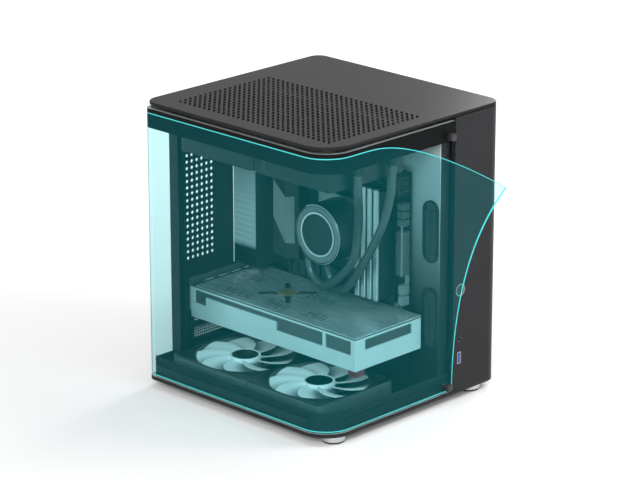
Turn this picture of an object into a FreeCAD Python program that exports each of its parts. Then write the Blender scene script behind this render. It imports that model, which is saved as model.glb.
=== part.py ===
import FreeCAD, Part
import math
import os
import re
import Sketcher
from FreeCAD import Rotation, Vector

# A small two-chamber computer case, filled with its parts.
#
# Frame: +X to the right, +Y to the back, +Z up. The origin is on the desk, under the middle of the
# whole thing, the peeled corner of the protective film included. The case stands on four feet.
# All sizes are in millimetres. Each driving size is one line of the table below, and the places are
# given from the case's own faces: left, right, front, back, floor (its underside) and roof (its top).

SIZES = (
    # case body
    ("case_width", 286, "overall width"),
    ("case_depth", 292, "overall depth, without the film's peeled corner"),
    ("body_height", 336, "height without feet"),
    ("corner_near", 36, "corner radius at the front left, where the glass bends"),
    ("corner_rear", 12, "corner radius at both rear corners"),
    ("corner_strip", 18, "corner radius at the front right"),
    ("sheet_gauge", 1.2, "thickness of every steel sheet"),
    # top cover
    ("cover_edge", 3.2, "height of the cover's edge"),
    ("cover_rim", 2, "width of the cover's turned-down edge"),
    ("cover_stud_radius", 3, "radius of the studs under the cover"),
    ("cover_stud_inset", 34, "studs, from the case's sides"),
    ("vent_pitch", 7.8, "spacing of the vent's openings, both ways"),
    ("vent_columns", 19, "openings across the width"),
    ("vent_rows", 31, "openings along the depth"),
    ("vent_slot_width", 2.6, "width of one opening"),
    ("vent_slot_length", 7.4, "length of one opening"),
    ("vent_from_left", 27, "first column's centre, from the left"),
    ("vent_from_front", 23, "first row's centre, from the front"),
    # feet
    ("foot_height", 10, "height of a foot with its pad"),
    ("foot_radius", 14, "radius of a foot"),
    ("foot_pad", 2.5, "thickness of the pad"),
    ("foot_pad_step", 1.2, "pad's radius is smaller by this"),
    ("foot_from_side", 30, "foot's centre, from the side"),
    ("foot_from_front", 19, "foot's centre, from the front or back"),
    # glass and film
    ("glass_thick", 4, "thickness of the bent glass"),
    ("glass_inset", 0.7, "glass outer face, inside the cover's outline"),
    ("glass_lift", 4, "glass lower edge, above the case's underside"),
    ("glass_gap", 4.8, "gap between the glass and the cover"),
    ("glass_width", 206, "glass front edge, from the case's left face"),
    ("glass_return", 39, "glass rear edge, from the case's left face"),
    ("seal_height", 9, "height of the strips between the glass and the frame"),
    ("film_thick", 0.3, "thickness of the film"),
    ("film_gap", 0.3, "room between the film and the glass"),
    ("film_top_margin", 4.6, "bare glass above the film"),
    ("film_base_margin", 2.8, "bare glass below the film"),
    ("film_reach", 77, "how far the peeled corner stands out in front"),
    ("film_drop", 56.5, "how far the peeled corner hangs down"),
    ("film_peel_start", 70, "where the film leaves the glass at its top, from the left"),
    ("film_screw_hole", 6.6, "radius of the film's cut-out round the lower screw"),
    ("film_rear_turn", 40, "degrees that the film follows the rear left bend"),
    # thumb screws that hold the glass
    ("screw_head_radius", 5.8, "radius of a screw's head"),
    ("screw_head", 9, "length of a screw's head"),
    ("screw_shank_radius", 2, "radius of its shank"),
    ("screw_shank", 9, "length of its shank"),
    ("screw_play", 0.5, "room round a shank"),
    ("screw_from_edge", 10, "screw, from the glass's front edge"),
    ("screw_from_top", 16, "upper screw, below the glass's top"),
    ("screw_from_base", 9, "lower screw, above the glass's lower edge"),
    # frame
    ("frame_inset", 6.5, "frame outer faces, inside the cover's outline"),
    ("top_rail", 22, "height of the top frame's web, below its roof plate"),
    ("base_rail", 26, "height of the base pan's upstand"),
    ("base_edge", 3, "height of the base pan's edge"),
    ("post_depth", 14, "depth of the front and rear posts"),
    ("rear_post_width", 11, "width of the rear post"),
    ("tray_from_left", 190, "tray that carries the board, from the left"),
    ("rear_inset", 2.5, "rear wall's outer face, inside the cover's outline"),
    ("rear_room", 12, "room that the rails leave in front of the rear wall"),
    ("control_board", 1.6, "thickness of the board behind the controls"),
    ("shell_gap", 0.7, "gap between the glass and the front strip"),
    ("shell_drop", 1.3, "gap between the right shell and the cover"),
    ("shell_return", 22, "rear return of the right shell"),
    ("side_vents", 6, "vents in the right side"),
    ("side_vent_lift", 30, "lowest of them, above the underside"),
    ("side_vent_pitch", 15.6, "spacing of them"),
    ("side_vent_width", 3.9, "width of one"),
    ("side_vent_margin", 20, "their ends, inside the power supply's ends"),
    ("stand_off_inset", 10, "stand-offs, inside the board's edges"),
    ("stand_off_wall", 1, "wall of a stand-off round its screw"),
    # cable slots in the tray
    ("cable_slot_width", 20, "width of a cable slot"),
    ("cable_slot_height", 70, "height of a cable slot"),
    ("cable_slot_from_front", 20, "cable slot's centre, from the front"),
    ("cable_slot_low", 93, "lower slot's centre, above the underside"),
    ("cable_slot_high", 197, "upper slot's centre, above the underside"),
    ("grommet_wall", 2, "thickness of a grommet's lip"),
    # controls on the front strip
    ("strip_controls", 218, "controls, from the left"),
    ("button_height", 125, "power button, above the underside"),
    ("button_radius", 5.6, "radius of the button's cap"),
    ("button_play", 0.4, "room round the button's cap"),
    ("button_travel", 1.2, "travel of the button"),
    ("button_depth", 9, "length of the button"),
    ("ring_wall", 1.6, "width of the bright ring round the button"),
    ("ring_proud", 0.6, "how far the ring stands out"),
    ("mic_height", 85, "small hole, above the underside"),
    ("mic_radius", 1, "radius of the small hole"),
    ("jack_height", 65, "audio socket, above the underside"),
    ("jack_radius", 1.8, "radius of the audio socket's hole"),
    ("jack_body", 3.4, "radius of the audio socket's body"),
    ("usb_height", 42.5, "data socket's centre, above the underside"),
    ("usb_width", 6.2, "data socket, across"),
    ("usb_length", 14, "data socket, up and down"),
    ("usb_wall", 0.6, "thickness of the data socket's shell"),
    ("socket_depth", 14, "length of both sockets"),
    # fans
    ("fan_size", 120, "side of a fan's frame"),
    ("fan_depth", 25, "thickness of a fan"),
    ("fan_bore", 58, "radius of a fan's opening"),
    ("fan_tip", 56.5, "radius to the blades' tips"),
    ("fan_hub", 20, "radius of a fan's hub"),
    ("fan_corner", 6, "corner radius of a fan's frame"),
    ("fan_arm", 5, "width of the arms that hold the motor"),
    ("blade_thick", 1.6, "thickness of a blade"),
    ("shaft_radius", 1.5, "radius of a rotor's shaft"),
    ("shaft_play", 0.05, "running clearance round a shaft"),
    ("base_fan_blades", 9, "blades of a bottom fan"),
    ("top_fan_blades", 7, "blades of a top fan"),
    ("base_fan_from_left", 14, "bottom fans, from the left"),
    ("base_fan_from_front", 24, "bottom fans, from the front"),
    ("base_fan_lift", 8, "bottom fans, above the underside"),
    ("fan_tab", 9, "side of the tabs that the bottom fans stand on"),
    ("stack_from_left", 34, "radiator and top fans, from the left"),
    ("stack_from_front", 28, "top fans, from the front"),
    # liquid cooler
    ("radiator_thick", 27, "thickness of the radiator"),
    ("radiator_tank", 16, "length of each end tank"),
    ("hose_radius", 5, "radius of a hose"),
    ("fitting_radius", 6.5, "radius of a hose fitting"),
    ("fitting_length", 9, "length of a hose fitting"),
    ("pump_radius", 35.5, "radius of the pump"),
    ("pump_height", 40, "height of the pump"),
    ("pump_stand", 16, "pump's back, above the board"),
    ("pump_from_board", 92.1, "pump's centre, from the board's front edge"),
    ("pump_above_floor", 182, "pump's centre, above the underside"),
    ("pump_plate", 75, "side of the pump's mounting plate"),
    ("pump_ring_radius", 26.5, "outer radius of the pump's bright ring"),
    ("pump_ring_wall", 2.2, "width of that ring"),
    ("pump_ring_proud", 0.8, "how far that ring stands out"),
    ("pump_plate_thick", 4, "thickness of the pump's mounting plate"),
    ("pump_socket", 50, "side of the processor's socket"),
    # main board
    ("board_size", 244, "side of the main board"),
    ("board_thick", 1.6, "thickness of a circuit board"),
    ("board_stand", 7.4, "room between the board and its tray"),
    ("board_lift", 20, "board's lower edge, above the underside"),
    ("memory_length", 133, "length of a memory stick"),
    ("memory_height", 35, "height of a memory stick above the board"),
    ("memory_thick", 7, "thickness of a memory stick"),
    ("memory_pitch", 9.5, "spacing of the memory sticks"),
    ("memory_from_board", 22.1, "first stick's centre, from the board's front edge"),
    ("memory_lift", 113, "sticks' lower ends, above the underside"),
    ("memory_slot", 6, "height of a memory slot"),
    ("port_height", 42, "height of the rear ports and their cover"),
    ("port_span", 150, "length of the rear ports and their cover"),
    ("port_lift", 110, "rear ports' lower end, above the underside"),
    ("port_depth", 20, "depth of the rear ports"),
    ("port_cover_depth", 37, "depth of the cover over the ports"),
    ("cooler_height", 29, "height of the voltage cooler above the board"),
    ("cooler_front", 18, "height of its front face"),
    ("cooler_rear", 16, "height of its rear face"),
    ("cooler_depth", 47, "its depth, front to back"),
    ("cooler_front_slope", 8, "depth of the slope above its front face"),
    ("cooler_rear_slope", 14, "depth of the slope above its rear face"),
    ("cooler_from_ports", 1.9, "room between it and the cover over the ports"),
    ("cooler_length", 99, "its length, up and down"),
    ("cooler_lift", 127, "its lower end, above the underside"),
    ("cooler_groove", 3, "width of the grooves across it"),
    ("cooler_groove_lift", 12, "lowest groove, above its lower end"),
    ("cooler_groove_pitch", 17, "spacing of those grooves"),
    ("cooler_foot", 8, "thickness that the grooves leave at the board"),
    ("port_mouth_lift", 6, "lowest rear port, above the ports' lower end"),
    ("port_mouth_gap", 5, "room between two rear ports"),
    ("drive_cooler_height", 11, "height of the drive cooler above the board"),
    ("drive_cooler_from_board", 100, "its front end, from the board's front edge"),
    ("drive_cooler_length", 84, "its length, front to back"),
    ("drive_cooler_width", 20, "its width, up and down"),
    ("drive_cooler_gap", 4, "room between it and the card"),
    ("drive_slits", 7, "slits across it"),
    ("drive_slit_margin", 6, "first slit, from its front end"),
    ("drive_slit_pitch", 12, "spacing of the slits"),
    ("drive_slit_width", 3, "width of a slit"),
    ("drive_slit_depth", 5, "depth of a slit"),
    ("socket_inset", 1, "sockets, inside the board's front edge"),
    ("power_socket_height", 11, "height of the power socket above the board"),
    ("power_socket_width", 9, "its width, front to back"),
    ("power_socket_length", 52, "its length, up and down"),
    ("power_socket_lift", 142, "its lower end, above the underside"),
    ("edge_header_width", 11.5, "width of the header at the board's front edge"),
    ("edge_header_length", 24, "its length, up and down"),
    ("edge_header_lift", 202, "its lower end, above the underside"),
    # graphics card
    ("card_length", 266, "length of the card"),
    ("card_width", 108, "width of the card"),
    ("card_thick", 40, "thickness of the card"),
    ("card_top", 100, "card's upper face, above the underside"),
    ("card_wall", 2, "thickness of the shroud's walls"),
    ("card_plate", 1.5, "thickness of the back plate"),
    ("card_edge", 5.4, "height of the card's edge connector"),
    ("card_fan_tip", 40, "radius to the card's fan blades"),
    ("card_fan_bore", 42, "radius of the card's fan openings"),
    ("card_fan_hub", 16, "radius of the card's fan hubs"),
    ("card_fan_depth", 11, "thickness of the card's fans"),
    ("card_fan_blades", 9, "blades of a card's fan"),
    ("card_band_low", 22, "shroud's windows, lower edge below the card's face"),
    ("card_band_plate", 11.5, "blank plate's upper edge below the card's face"),
    ("card_band_top", 5.5, "shroud's windows, upper edge below the card's face"),
    ("card_fin_pitch", 9.5, "spacing of the cooler's fins"),
    ("card_fin", 1.6, "thickness of a fin"),
    ("card_brace_arm", 34, "reach of the brace on the back plate"),
    ("card_brace_thick", 2, "thickness of that brace"),
    ("card_brace_from_front", 160, "brace's centre, from the card's front end"),
    ("end_window_from_left", 16, "window in the card's front end, from its left"),
    ("end_window_length", 77, "length of that window"),
    ("end_window_low", 18, "its lower edge, below the card's face"),
    ("corner_block_inset", 2, "red block under the card, from its left"),
    ("corner_block_length", 14, "its length, across"),
    ("corner_block_width", 12, "its width, front to back"),
    ("corner_block_height", 8, "its height"),
    ("display_ports", 4, "display ports in the card's bracket"),
    ("display_port_inset", 20, "first port, from the card's right"),
    ("display_port_pitch", 22, "spacing of the ports"),
    ("display_port_width", 16, "width of a port"),
    ("display_port_height", 6, "height of a port"),
    ("display_port_low", 5, "its lower edge, below the slot's middle"),
    ("bracket_vents", 10, "openings in the card's bracket"),
    ("bracket_vent_inset", 10, "first opening, from the card's right"),
    ("bracket_vent_pitch", 9, "spacing of the openings"),
    ("bracket_vent_width", 5, "width of an opening"),
    ("bracket_vent_height", 10, "height of an opening"),
    # power supply
    ("supply_side_room", 10, "room for the shell and the tray beside the power supply"),
    ("supply_height", 150, "power supply, up"),
    ("supply_depth", 140, "power supply, front to back"),
    ("supply_bore", 62, "radius of the power supply's fan opening"),
    ("supply_fan_tip", 60, "radius to its fan's blades"),
    ("supply_wall", 1.5, "thickness of its housing"),
    ("supply_fan_depth", 18, "thickness of its fan"),
    ("supply_fan_blades", 7, "blades of its fan"),
    ("inlet_width", 27, "mains inlet, across"),
    ("inlet_height", 20, "mains inlet, up"),
    ("inlet_depth", 16, "mains inlet, depth"),
    ("switch_width", 13, "rocker switch, across"),
    ("switch_height", 19, "rocker switch, up"),
    ("switch_depth", 9, "rocker switch, depth"),
    ("switch_pin", 1.2, "radius of the rocker's pin"),
    # rear wall
    ("rear_vent_columns", 6, "columns of holes in the rear wall"),
    ("rear_vent_rows", 17, "rows of holes in the rear wall"),
    ("rear_vent_hole", 2.3, "radius of one hole"),
    ("rear_vent_from_left", 65, "first column, from the left"),
    ("rear_vent_lift", 132, "lowest row, above the underside"),
    ("slot_pitch", 20.32, "spacing of the expansion slots"),
    ("slot_length", 104, "length of an expansion slot"),
    ("slot_width", 13, "width of an expansion slot's opening"),
    ("slot_cover_width", 18.4, "width of a slot's cover"),
    ("slot_cover_lap", 6, "how far a slot's cover laps the wall at each end"),
    ("slot_cover_thick", 0.9, "thickness of a slot's cover"),
    ("slot_vents", 9, "openings in a slot's cover"),
    ("slot_vent_inset", 12, "first opening, from the card's right"),
    ("slot_vent_pitch", 10, "spacing of the openings"),
    ("slot_vent_width", 6, "width of an opening"),
    ("slot_vent_height", 8, "height of an opening"),
    ("hole_play", 0.4, "room round a fixed piece in its opening"),
    ("round_play", 0.3, "room between two fixed round faces"),
    # dust filter under the base
    ("intake_width", 100, "openings over the filter, across"),
    ("intake_length", 94, "openings over the filter, front to back"),
    ("intake_bridge", 12, "bar between those two openings"),
    ("filter_width", 126, "dust filter, across"),
    ("filter_length", 214, "dust filter, front to back, between the feet"),
    ("filter_thick", 3, "thickness of the filter's frame"),
    ("filter_frame", 6, "width of the filter's frame"),
    ("filter_rail", 3, "width of the rails that the filter slides in"),
    ("filter_play", 0.4, "room between the filter and its rails"),
)

document = FreeCAD.newDocument("micro_atx_case")
sheet = document.addObject("Spreadsheet::Sheet", "sizes")
for row, (alias, value, note) in enumerate(SIZES, start=1):
    sheet.set(f"A{row}", note)
    sheet.set(f"B{row}", str(value))
    sheet.setAlias(f"B{row}", alias)
document.recompute()

# Places that everything is measured from, in terms of the driving sizes.
PLACES = {
    "left": "(-case_width / 2)",
    "right": "(case_width / 2)",
    "front": "((film_reach - case_depth) / 2)",
    "back": "((film_reach + case_depth) / 2)",
    "floor": "foot_height",
    "roof": "(foot_height + body_height)",
}
ALIASES = {alias for alias, value, note in SIZES}

size = {alias: float(value) for alias, value, note in SIZES}
size["supply_width"] = size["case_width"] - size["tray_from_left"] - size["supply_side_room"]
NODES = []
left = -size["case_width"] / 2
front = (size["film_reach"] - size["case_depth"]) / 2
back = front + size["case_depth"]
floor = size["foot_height"]
roof = floor + size["body_height"]
wall_in = back - size["rear_inset"] - size["sheet_gauge"]
board_face = left + size["tray_from_left"] - size["board_stand"] - size["board_thick"]
board_end = wall_in - size["hole_play"]
board_front = board_end - size["board_size"]
pump_y = board_front + size["pump_from_board"]
pump_z = floor + size["pump_above_floor"]

# Places that several pieces share.
PLACES.update({
    "glass_low": "(floor + glass_lift)",
    "glass_top": "(roof - cover_edge - glass_gap)",
    "deck": "(floor + sheet_gauge)",
    "ceiling": "(glass_top - sheet_gauge)",
    "frame_inner": "(frame_inset + sheet_gauge)",
    "wall_out": "(back - rear_inset)",
    "wall_in": "(back - rear_inset - sheet_gauge)",
    "tray_face": "(left + tray_from_left)",
    "board_back": "(tray_face - board_stand)",
    "board_face": "(board_back - board_thick)",
    "board_end": "(wall_in - hole_play)",
    "board_front": "(board_end - board_size)",
    "card_ceiling": "(floor + card_top)",
    "card_board_top": "(card_ceiling - card_plate)",
    "card_board_low": "(card_board_top - board_thick)",
    "card_floor": "(card_ceiling - card_thick)",
    "card_right": "(board_face - card_edge)",
    "card_left": "(card_right - card_width)",
    "card_end": "(wall_in - slot_cover_thick)",
    "card_start": "(card_end - card_length)",
    "stack_left": "(left + stack_from_left)",
    "stack_front": "(front + stack_from_front)",
    "radiator_floor": "(ceiling - radiator_thick)",
    "pump_y": "(board_front + pump_from_board)",
    "pump_z": "(floor + pump_above_floor)",
    "pump_back": "(board_face - pump_stand)",
    "pump_face": "(pump_back - pump_height)",
    "strip_x": "(left + strip_controls)",
    "supply_left": "(tray_face + sheet_gauge + hole_play)",
    "supply_width": "(case_width - tray_from_left - supply_side_room)",
    "screw_x": "(left + glass_width - screw_from_edge)",
})


def bound(formula):
    """A formula in the driving sizes and the places, as an expression of this document."""
    def spell_out(match):
        word = match.group(0)
        if word in PLACES:
            return bound(PLACES[word])
        return f"sizes.{word}" if word in ALIASES else word
    return re.sub(r"[a-z_]+", spell_out, str(formula))


def place(item, x, y, z):
    """Ties an object's position to three formulas."""
    for axis, formula in zip("xyz", (x, y, z)):
        item.setExpression(f"Placement.Base.{axis}", bound(formula))
    return item


def box(name, x, y, z, length, width, height):
    """A block from its lowest corner and its sizes along X, Y and Z."""
    item = document.addObject("Part::Box", name)
    item.setExpression("Length", bound(length))
    item.setExpression("Width", bound(width))
    item.setExpression("Height", bound(height))
    return place(item, x, y, z)


TURNS = {"X": Rotation(Vector(0, 1, 0), 90), "Y": Rotation(Vector(1, 0, 0), -90), "Z": Rotation()}


def rod(name, x, y, z, radius, length, along="Z"):
    """A round bar from the centre of its first end."""
    item = document.addObject("Part::Cylinder", name)
    item.Placement = FreeCAD.Placement(Vector(), TURNS[along])
    item.setExpression("Radius", bound(radius))
    item.setExpression("Height", bound(length))
    return place(item, x, y, z)


def join(name, pieces):
    """One solid from several that touch or overlap."""
    item = document.addObject("Part::MultiFuse", name)
    item.Shapes = pieces
    item.Refine = True
    return item


def group(name, pieces):
    """Several like pieces that share one file and stay apart."""
    item = document.addObject("Part::Compound", name)
    item.Links = pieces
    return item


def cut(name, base, tools):
    """A piece with openings made by other shapes."""
    item = document.addObject("Part::Cut", name)
    item.Base = base
    item.Tool = tools[0] if len(tools) == 1 else group(f"{name}_openings", tools)
    item.Refine = True
    return item


def feature(name, shape):
    """A piece whose form no primitive or sketch gives."""
    item = document.addObject("Part::Feature", name)
    item.Shape = shape
    return item


CORNERS = (("near", "corner_near", -1, -1), ("strip", "corner_strip", 1, -1),
           ("far", "corner_rear", 1, 1), ("rear", "corner_rear", -1, 1))


def outline_points(inset):
    """The case's plan, pulled in by inset: for each corner its radius, centre and first angle."""
    half_width = size["case_width"] / 2 - inset
    half_depth = size["case_depth"] / 2 - inset
    plan = []
    for number, (label, radius, sx, sy) in enumerate(CORNERS):
        r = size[radius] - inset
        plan.append((r, Vector(sx * (half_width - r), sy * (half_depth - r), 0), 180 + 90 * number))
    return plan


def outline_edges(inset):
    """The same plan as four lines and four arcs, about its own centre."""
    plan = outline_points(inset)
    edges = []
    for number, (r, centre, start) in enumerate(plan):
        after = plan[(number + 1) % 4]
        edges.append(Part.ArcOfCircle(Part.Circle(centre, Vector(0, 0, 1), r),
                                      math.radians(start), math.radians(start + 90)))
        end = math.radians(start + 90)
        out = Vector(math.cos(end), math.sin(end), 0)
        edges.append(Part.LineSegment(centre + out * r, after[1] + out * after[0]))
    return edges


def outline_sketch(body, name, insets):
    """A sketch of the case's plan on the body's ground plane, once for each inset."""
    sketch = body.newObject("Sketcher::SketchObject", name)
    ground = [item for item in body.Origin.OriginFeatures if item.Role == "XY_Plane"][0]
    sketch.AttachmentSupport = [(ground, "")]
    sketch.MapMode = "FlatFace"
    for turn, inset in enumerate(insets):
        value = number_of(inset)
        base = 8 * turn
        for edge in outline_edges(value):
            sketch.addGeometry(edge, False)
        names = []
        for number in range(4):
            arc, line = base + 2 * number, base + 2 * number + 1
            following = base + (2 * number + 2) % 8
            sketch.addConstraint(Sketcher.Constraint("Tangent", arc, 2, line, 1))
            sketch.addConstraint(Sketcher.Constraint("Tangent", line, 2, following, 1))
            radius = CORNERS[number][1]
            index = sketch.addConstraint(Sketcher.Constraint("Radius", arc, size[radius] - value))
            names.append((index, f"radius_{turn}_{number}", f"{radius} - ({inset})"))
        for number, kind in enumerate(("Horizontal", "Vertical", "Horizontal", "Vertical")):
            sketch.addConstraint(Sketcher.Constraint(kind, base + 2 * number + 1))
        half_width = size["case_width"] / 2 - value
        half_depth = size["case_depth"] / 2 - value
        reaches = (("DistanceY", base + 1, 1, -1, 1, half_depth, "case_depth"),
                   ("DistanceX", -1, 1, base + 3, 1, half_width, "case_width"),
                   ("DistanceY", -1, 1, base + 5, 1, half_depth, "case_depth"),
                   ("DistanceX", base + 7, 1, -1, 1, half_width, "case_width"))
        for number, (kind, one, end_one, two, end_two, reach, overall) in enumerate(reaches):
            index = sketch.addConstraint(Sketcher.Constraint(kind, one, end_one, two, end_two, reach))
            names.append((index, f"reach_{turn}_{number}", f"{overall} / 2 - ({inset})"))
        for index, label, formula in names:
            sketch.renameConstraint(index, label)
            sketch.setExpression(f"Constraints.{label}", bound(formula))
    return sketch


def number_of(formula):
    """The value of a sum or difference of driving sizes, such as an inset."""
    total = 0.0
    for sign, word in re.findall(r"([+-]?)\s*([a-z_]+|[0-9.]+)", formula.strip("()")):
        if word in PLACES:
            value = number_of(PLACES[word])
        else:
            value = size[word] if word in size else float(word)
        total += -value if sign == "-" else value
    return total


def ring(name, outer, inner, z, height):
    """A wall that follows the case's plan, between two insets. With no inner inset, a plate."""
    body = document.addObject("PartDesign::Body", name)
    place(body, "0", "(front + back) / 2", z)
    sketch = outline_sketch(body, f"{name}_plan", (outer, inner) if inner else (outer,))
    pad = body.newObject("PartDesign::Pad", f"{name}_pad")
    pad.Profile = sketch
    pad.setExpression("Length", bound(height))
    return body


def node(item, label=None):
    """Lists an object as one of the case's own pieces, under its label."""
    item.Label = label or item.Name
    NODES.append(item)
    return item


def plan_wire(points):
    """A closed flat outline through the given points."""
    return Part.makePolygon([Vector(*point) for point in points] + [Vector(*points[0])])


def slab(outer, openings, z, thickness):
    """A flat sheet with many openings, as one face pushed up by its thickness."""
    face = Part.Face([outer] + openings)
    face.validate()
    face.translate(Vector(0, 0, z))
    return face.extrude(Vector(0, 0, thickness))


# The case: cover, frame, floor, walls


def top_cover():
    """A sheet with a turned-down edge and a field of short slanted openings.

    The openings stand at 45 degrees on a square grid. Two that follow each other along the slant
    are cut as one here, so that the field stays light.
    """
    outer = Part.Wire([edge.toShape() for edge in outline_edges(0)])
    centre_y = (front + back) / 2
    pitch = size["vent_pitch"]
    half_width = size["vent_slot_width"] / 2
    openings = []
    for column in range(0, int(size["vent_columns"]), 2):
        for row in range(int(size["vent_rows"])):
            pair = column + 1 < size["vent_columns"] and row + 1 < size["vent_rows"]
            reach = (size["vent_slot_length"] + (pitch * math.sqrt(2) if pair else 0)) / 2
            shift = pitch / 2 if pair else 0
            middle = Vector(left + size["vent_from_left"] + column * pitch + shift,
                            front + size["vent_from_front"] + row * pitch + shift - centre_y, 0)
            along = Vector(1, 1, 0).normalize() * reach
            across = Vector(-1, 1, 0).normalize() * half_width
            openings.append(plan_wire([middle + along + across, middle - along + across,
                                       middle - along - across, middle + along - across]))
    fold = Part.Wire([edge.toShape() for edge in outline_edges(size["cover_rim"])])
    down = Vector(0, 0, -size["sheet_gauge"])
    upper = Part.Face([outer] + openings)
    lower = Part.Face([fold.translated(down)] + [opening.translated(down) for opening in openings])
    rim = Vector(0, 0, -size["cover_edge"])
    hem = Part.Face([outer.translated(rim), fold.translated(rim)])
    for face in (upper, lower, hem):
        face.validate()
    sides = [opening.extrude(down) for opening in openings]
    sides += [outer.extrude(rim), fold.translated(down).extrude(rim - down)]
    skin = Part.makeCompound([upper, lower, hem] + sides)
    skin.sewShape()
    solid = Part.Solid(skin.Shells[0])
    if solid.Volume < 0:
        solid.reverse()
    return feature("top_cover", solid.translated(Vector(0, centre_y, roof)))


def cover_studs():
    """Four studs under the cover that stand on the top frame's plate."""
    studs = []
    for side in ("left + cover_stud_inset", "right - cover_stud_inset"):
        for end in ("front + cover_stud_inset / 2", "back - cover_stud_inset / 2"):
            studs.append(rod("stud", side, end, "glass_top", "cover_stud_radius",
                             "roof - sheet_gauge - glass_top"))
    return group("cover_studs", studs)


def glass_holes(start, depth):
    """The room for the two screws that go through the glass, the seals and the frame."""
    heights = ("glass_top - screw_from_top", "glass_low + screw_from_base")
    return [rod("screw_room", "screw_x", start, height, "screw_shank_radius + screw_play", depth, "Y")
            for height in heights]


def front_of_glass(name, edge):
    """Cuts a ring back to the bent glass's run: left side, front to edge, and the short return."""
    return [box(f"{name}_front_cut", edge, "front - 1", "floor - 1",
                "case_width", "case_depth + 2", "body_height + 2"),
            box(f"{name}_rear_cut", "left + glass_return", "(front + back) / 2", "floor - 1",
                "case_width", "case_depth", "body_height + 2")]


def glass_panel():
    """One sheet of glass, bent round the near corner and the rear left corner."""
    bent = ring("glass_band", "glass_inset", "glass_inset + glass_thick", "glass_low",
                "glass_top - glass_low")
    return cut("glass_panel", bent, front_of_glass("glass", "left + glass_width")
               + glass_holes("front - 1", "glass_inset + glass_thick + 2"))


def glass_seals():
    """Flat strips between the glass and the two rails: at the top and base, in front and at the left."""
    behind = "(glass_inset + glass_thick)"
    thick = "frame_inset - glass_inset - glass_thick"
    strips = []
    for level in ("glass_top - screw_from_top", "glass_low + screw_from_base"):
        z = f"{level} - seal_height / 2"
        strips.append(cut("front_seal", box("front_strip", "left + corner_near", f"front + {behind}", z,
                                            "glass_width - corner_near", thick, "seal_height"),
                          glass_holes("front", "frame_inset + 1")))
        strips.append(box("side_seal", f"left + {behind}", "front + corner_near", z, thick,
                          "case_depth - corner_near - corner_rear", "seal_height"))
    return group("glass_seals", strips)


def top_frame():
    """The roof plate that carries the cooler, with a web all round behind the glass."""
    plate = ring("roof_plate", "frame_inset", None, "ceiling", "sheet_gauge")
    web = ring("roof_web", "frame_inset", "frame_inner", "ceiling - top_rail", "top_rail + sheet_gauge / 2")
    draught = box("roof_opening", "stack_left + fan_corner", "stack_front + fan_corner", "ceiling - 1",
                  "fan_size - 2 * fan_corner", "2 * fan_size - 2 * fan_corner", "3 * sheet_gauge")
    rear_gap = box("roof_rear_cut", "left + glass_return + rear_post_width", "wall_in - rear_room",
                   "floor", "case_width - glass_return - rear_post_width - frame_inner", "rear_room",
                   "ceiling - floor")
    return cut("top_frame", join("roof_blank", [plate, web]),
               [draught, rear_gap] + glass_holes("front", "frame_inner + 2")[:1])


def base_pan():
    """The floor sheet with a turned edge, an upstand behind the glass and two fan openings."""
    sheet_floor = ring("floor_plate", "0", None, "floor", "sheet_gauge")
    edge = ring("floor_edge", "0", "cover_rim", "floor", "base_edge")
    upstand = ring("floor_upstand", "frame_inset", "frame_inner", "floor", "base_rail")
    rear_gap = box("floor_rear_cut", "left + glass_return + rear_post_width", "wall_in - rear_room", "deck",
                   "case_width - glass_return - rear_post_width - frame_inner", "rear_room",
                   "base_rail")
    holes = []
    for shift in ("-intake_bridge / 2 - intake_length", "intake_bridge / 2"):
        holes.append(box("intake", "left + base_fan_from_left + fan_size / 2 - intake_width / 2",
                         f"front + base_fan_from_front + fan_size + ({shift})", "floor - 1",
                         "intake_width", "intake_length", "base_edge + 2"))
    tabs = []
    for x in ("0", "fan_size - fan_tab"):
        for y in ("0", "fan_size - fan_tab", "fan_size", "2 * fan_size - fan_tab"):
            tabs.append(box("fan_stand", f"left + base_fan_from_left + {x}",
                            f"front + base_fan_from_front + {y}", "floor", "fan_tab", "fan_tab",
                            "base_fan_lift"))
    return cut("base_pan", join("floor_blank", [sheet_floor, edge, upstand] + tabs),
               [rear_gap] + holes + glass_holes("front", "frame_inner + 2")[1:])


def feet():
    """Four turned feet and the pads under them."""
    sides = (("left", "left + foot_from_side"), ("right", "right - foot_from_side"))
    ends = (("front", "front + foot_from_front"), ("rear", "back - foot_from_front"))
    bodies, pads = [], []
    for end, y in ends:
        for side, x in sides:
            bodies.append(rod(f"foot_{end}_{side}", x, y, "foot_pad", "foot_radius",
                              "foot_height - foot_pad"))
            pads.append(rod("pad", x, y, "0", "foot_radius - foot_pad_step", "foot_pad"))
    return [group("feet", bodies), group("foot_pads", pads)]


def dust_filter():
    """A framed filter in two rails under the floor. It pulls out at the left, between the feet."""
    x = "left + base_fan_from_left + fan_size / 2 - filter_width / 2"
    y = "front + base_fan_from_front + fan_size - filter_length / 2"
    z = "floor - filter_play - filter_thick"
    frame = box("filter_outline", x, y, z, "filter_width", "filter_length", "filter_thick")
    windows = []
    for turn in ("0", "1"):
        windows.append(box("filter_window", f"{x} + filter_frame",
                           f"{y} + filter_frame + {turn} * (filter_length - filter_frame) / 2",
                           f"{z} + filter_thick / 4", "filter_width - 2 * filter_frame",
                           "(filter_length - 3 * filter_frame) / 2", "filter_thick"))
    return cut("dust_filter", frame, windows)


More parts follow.
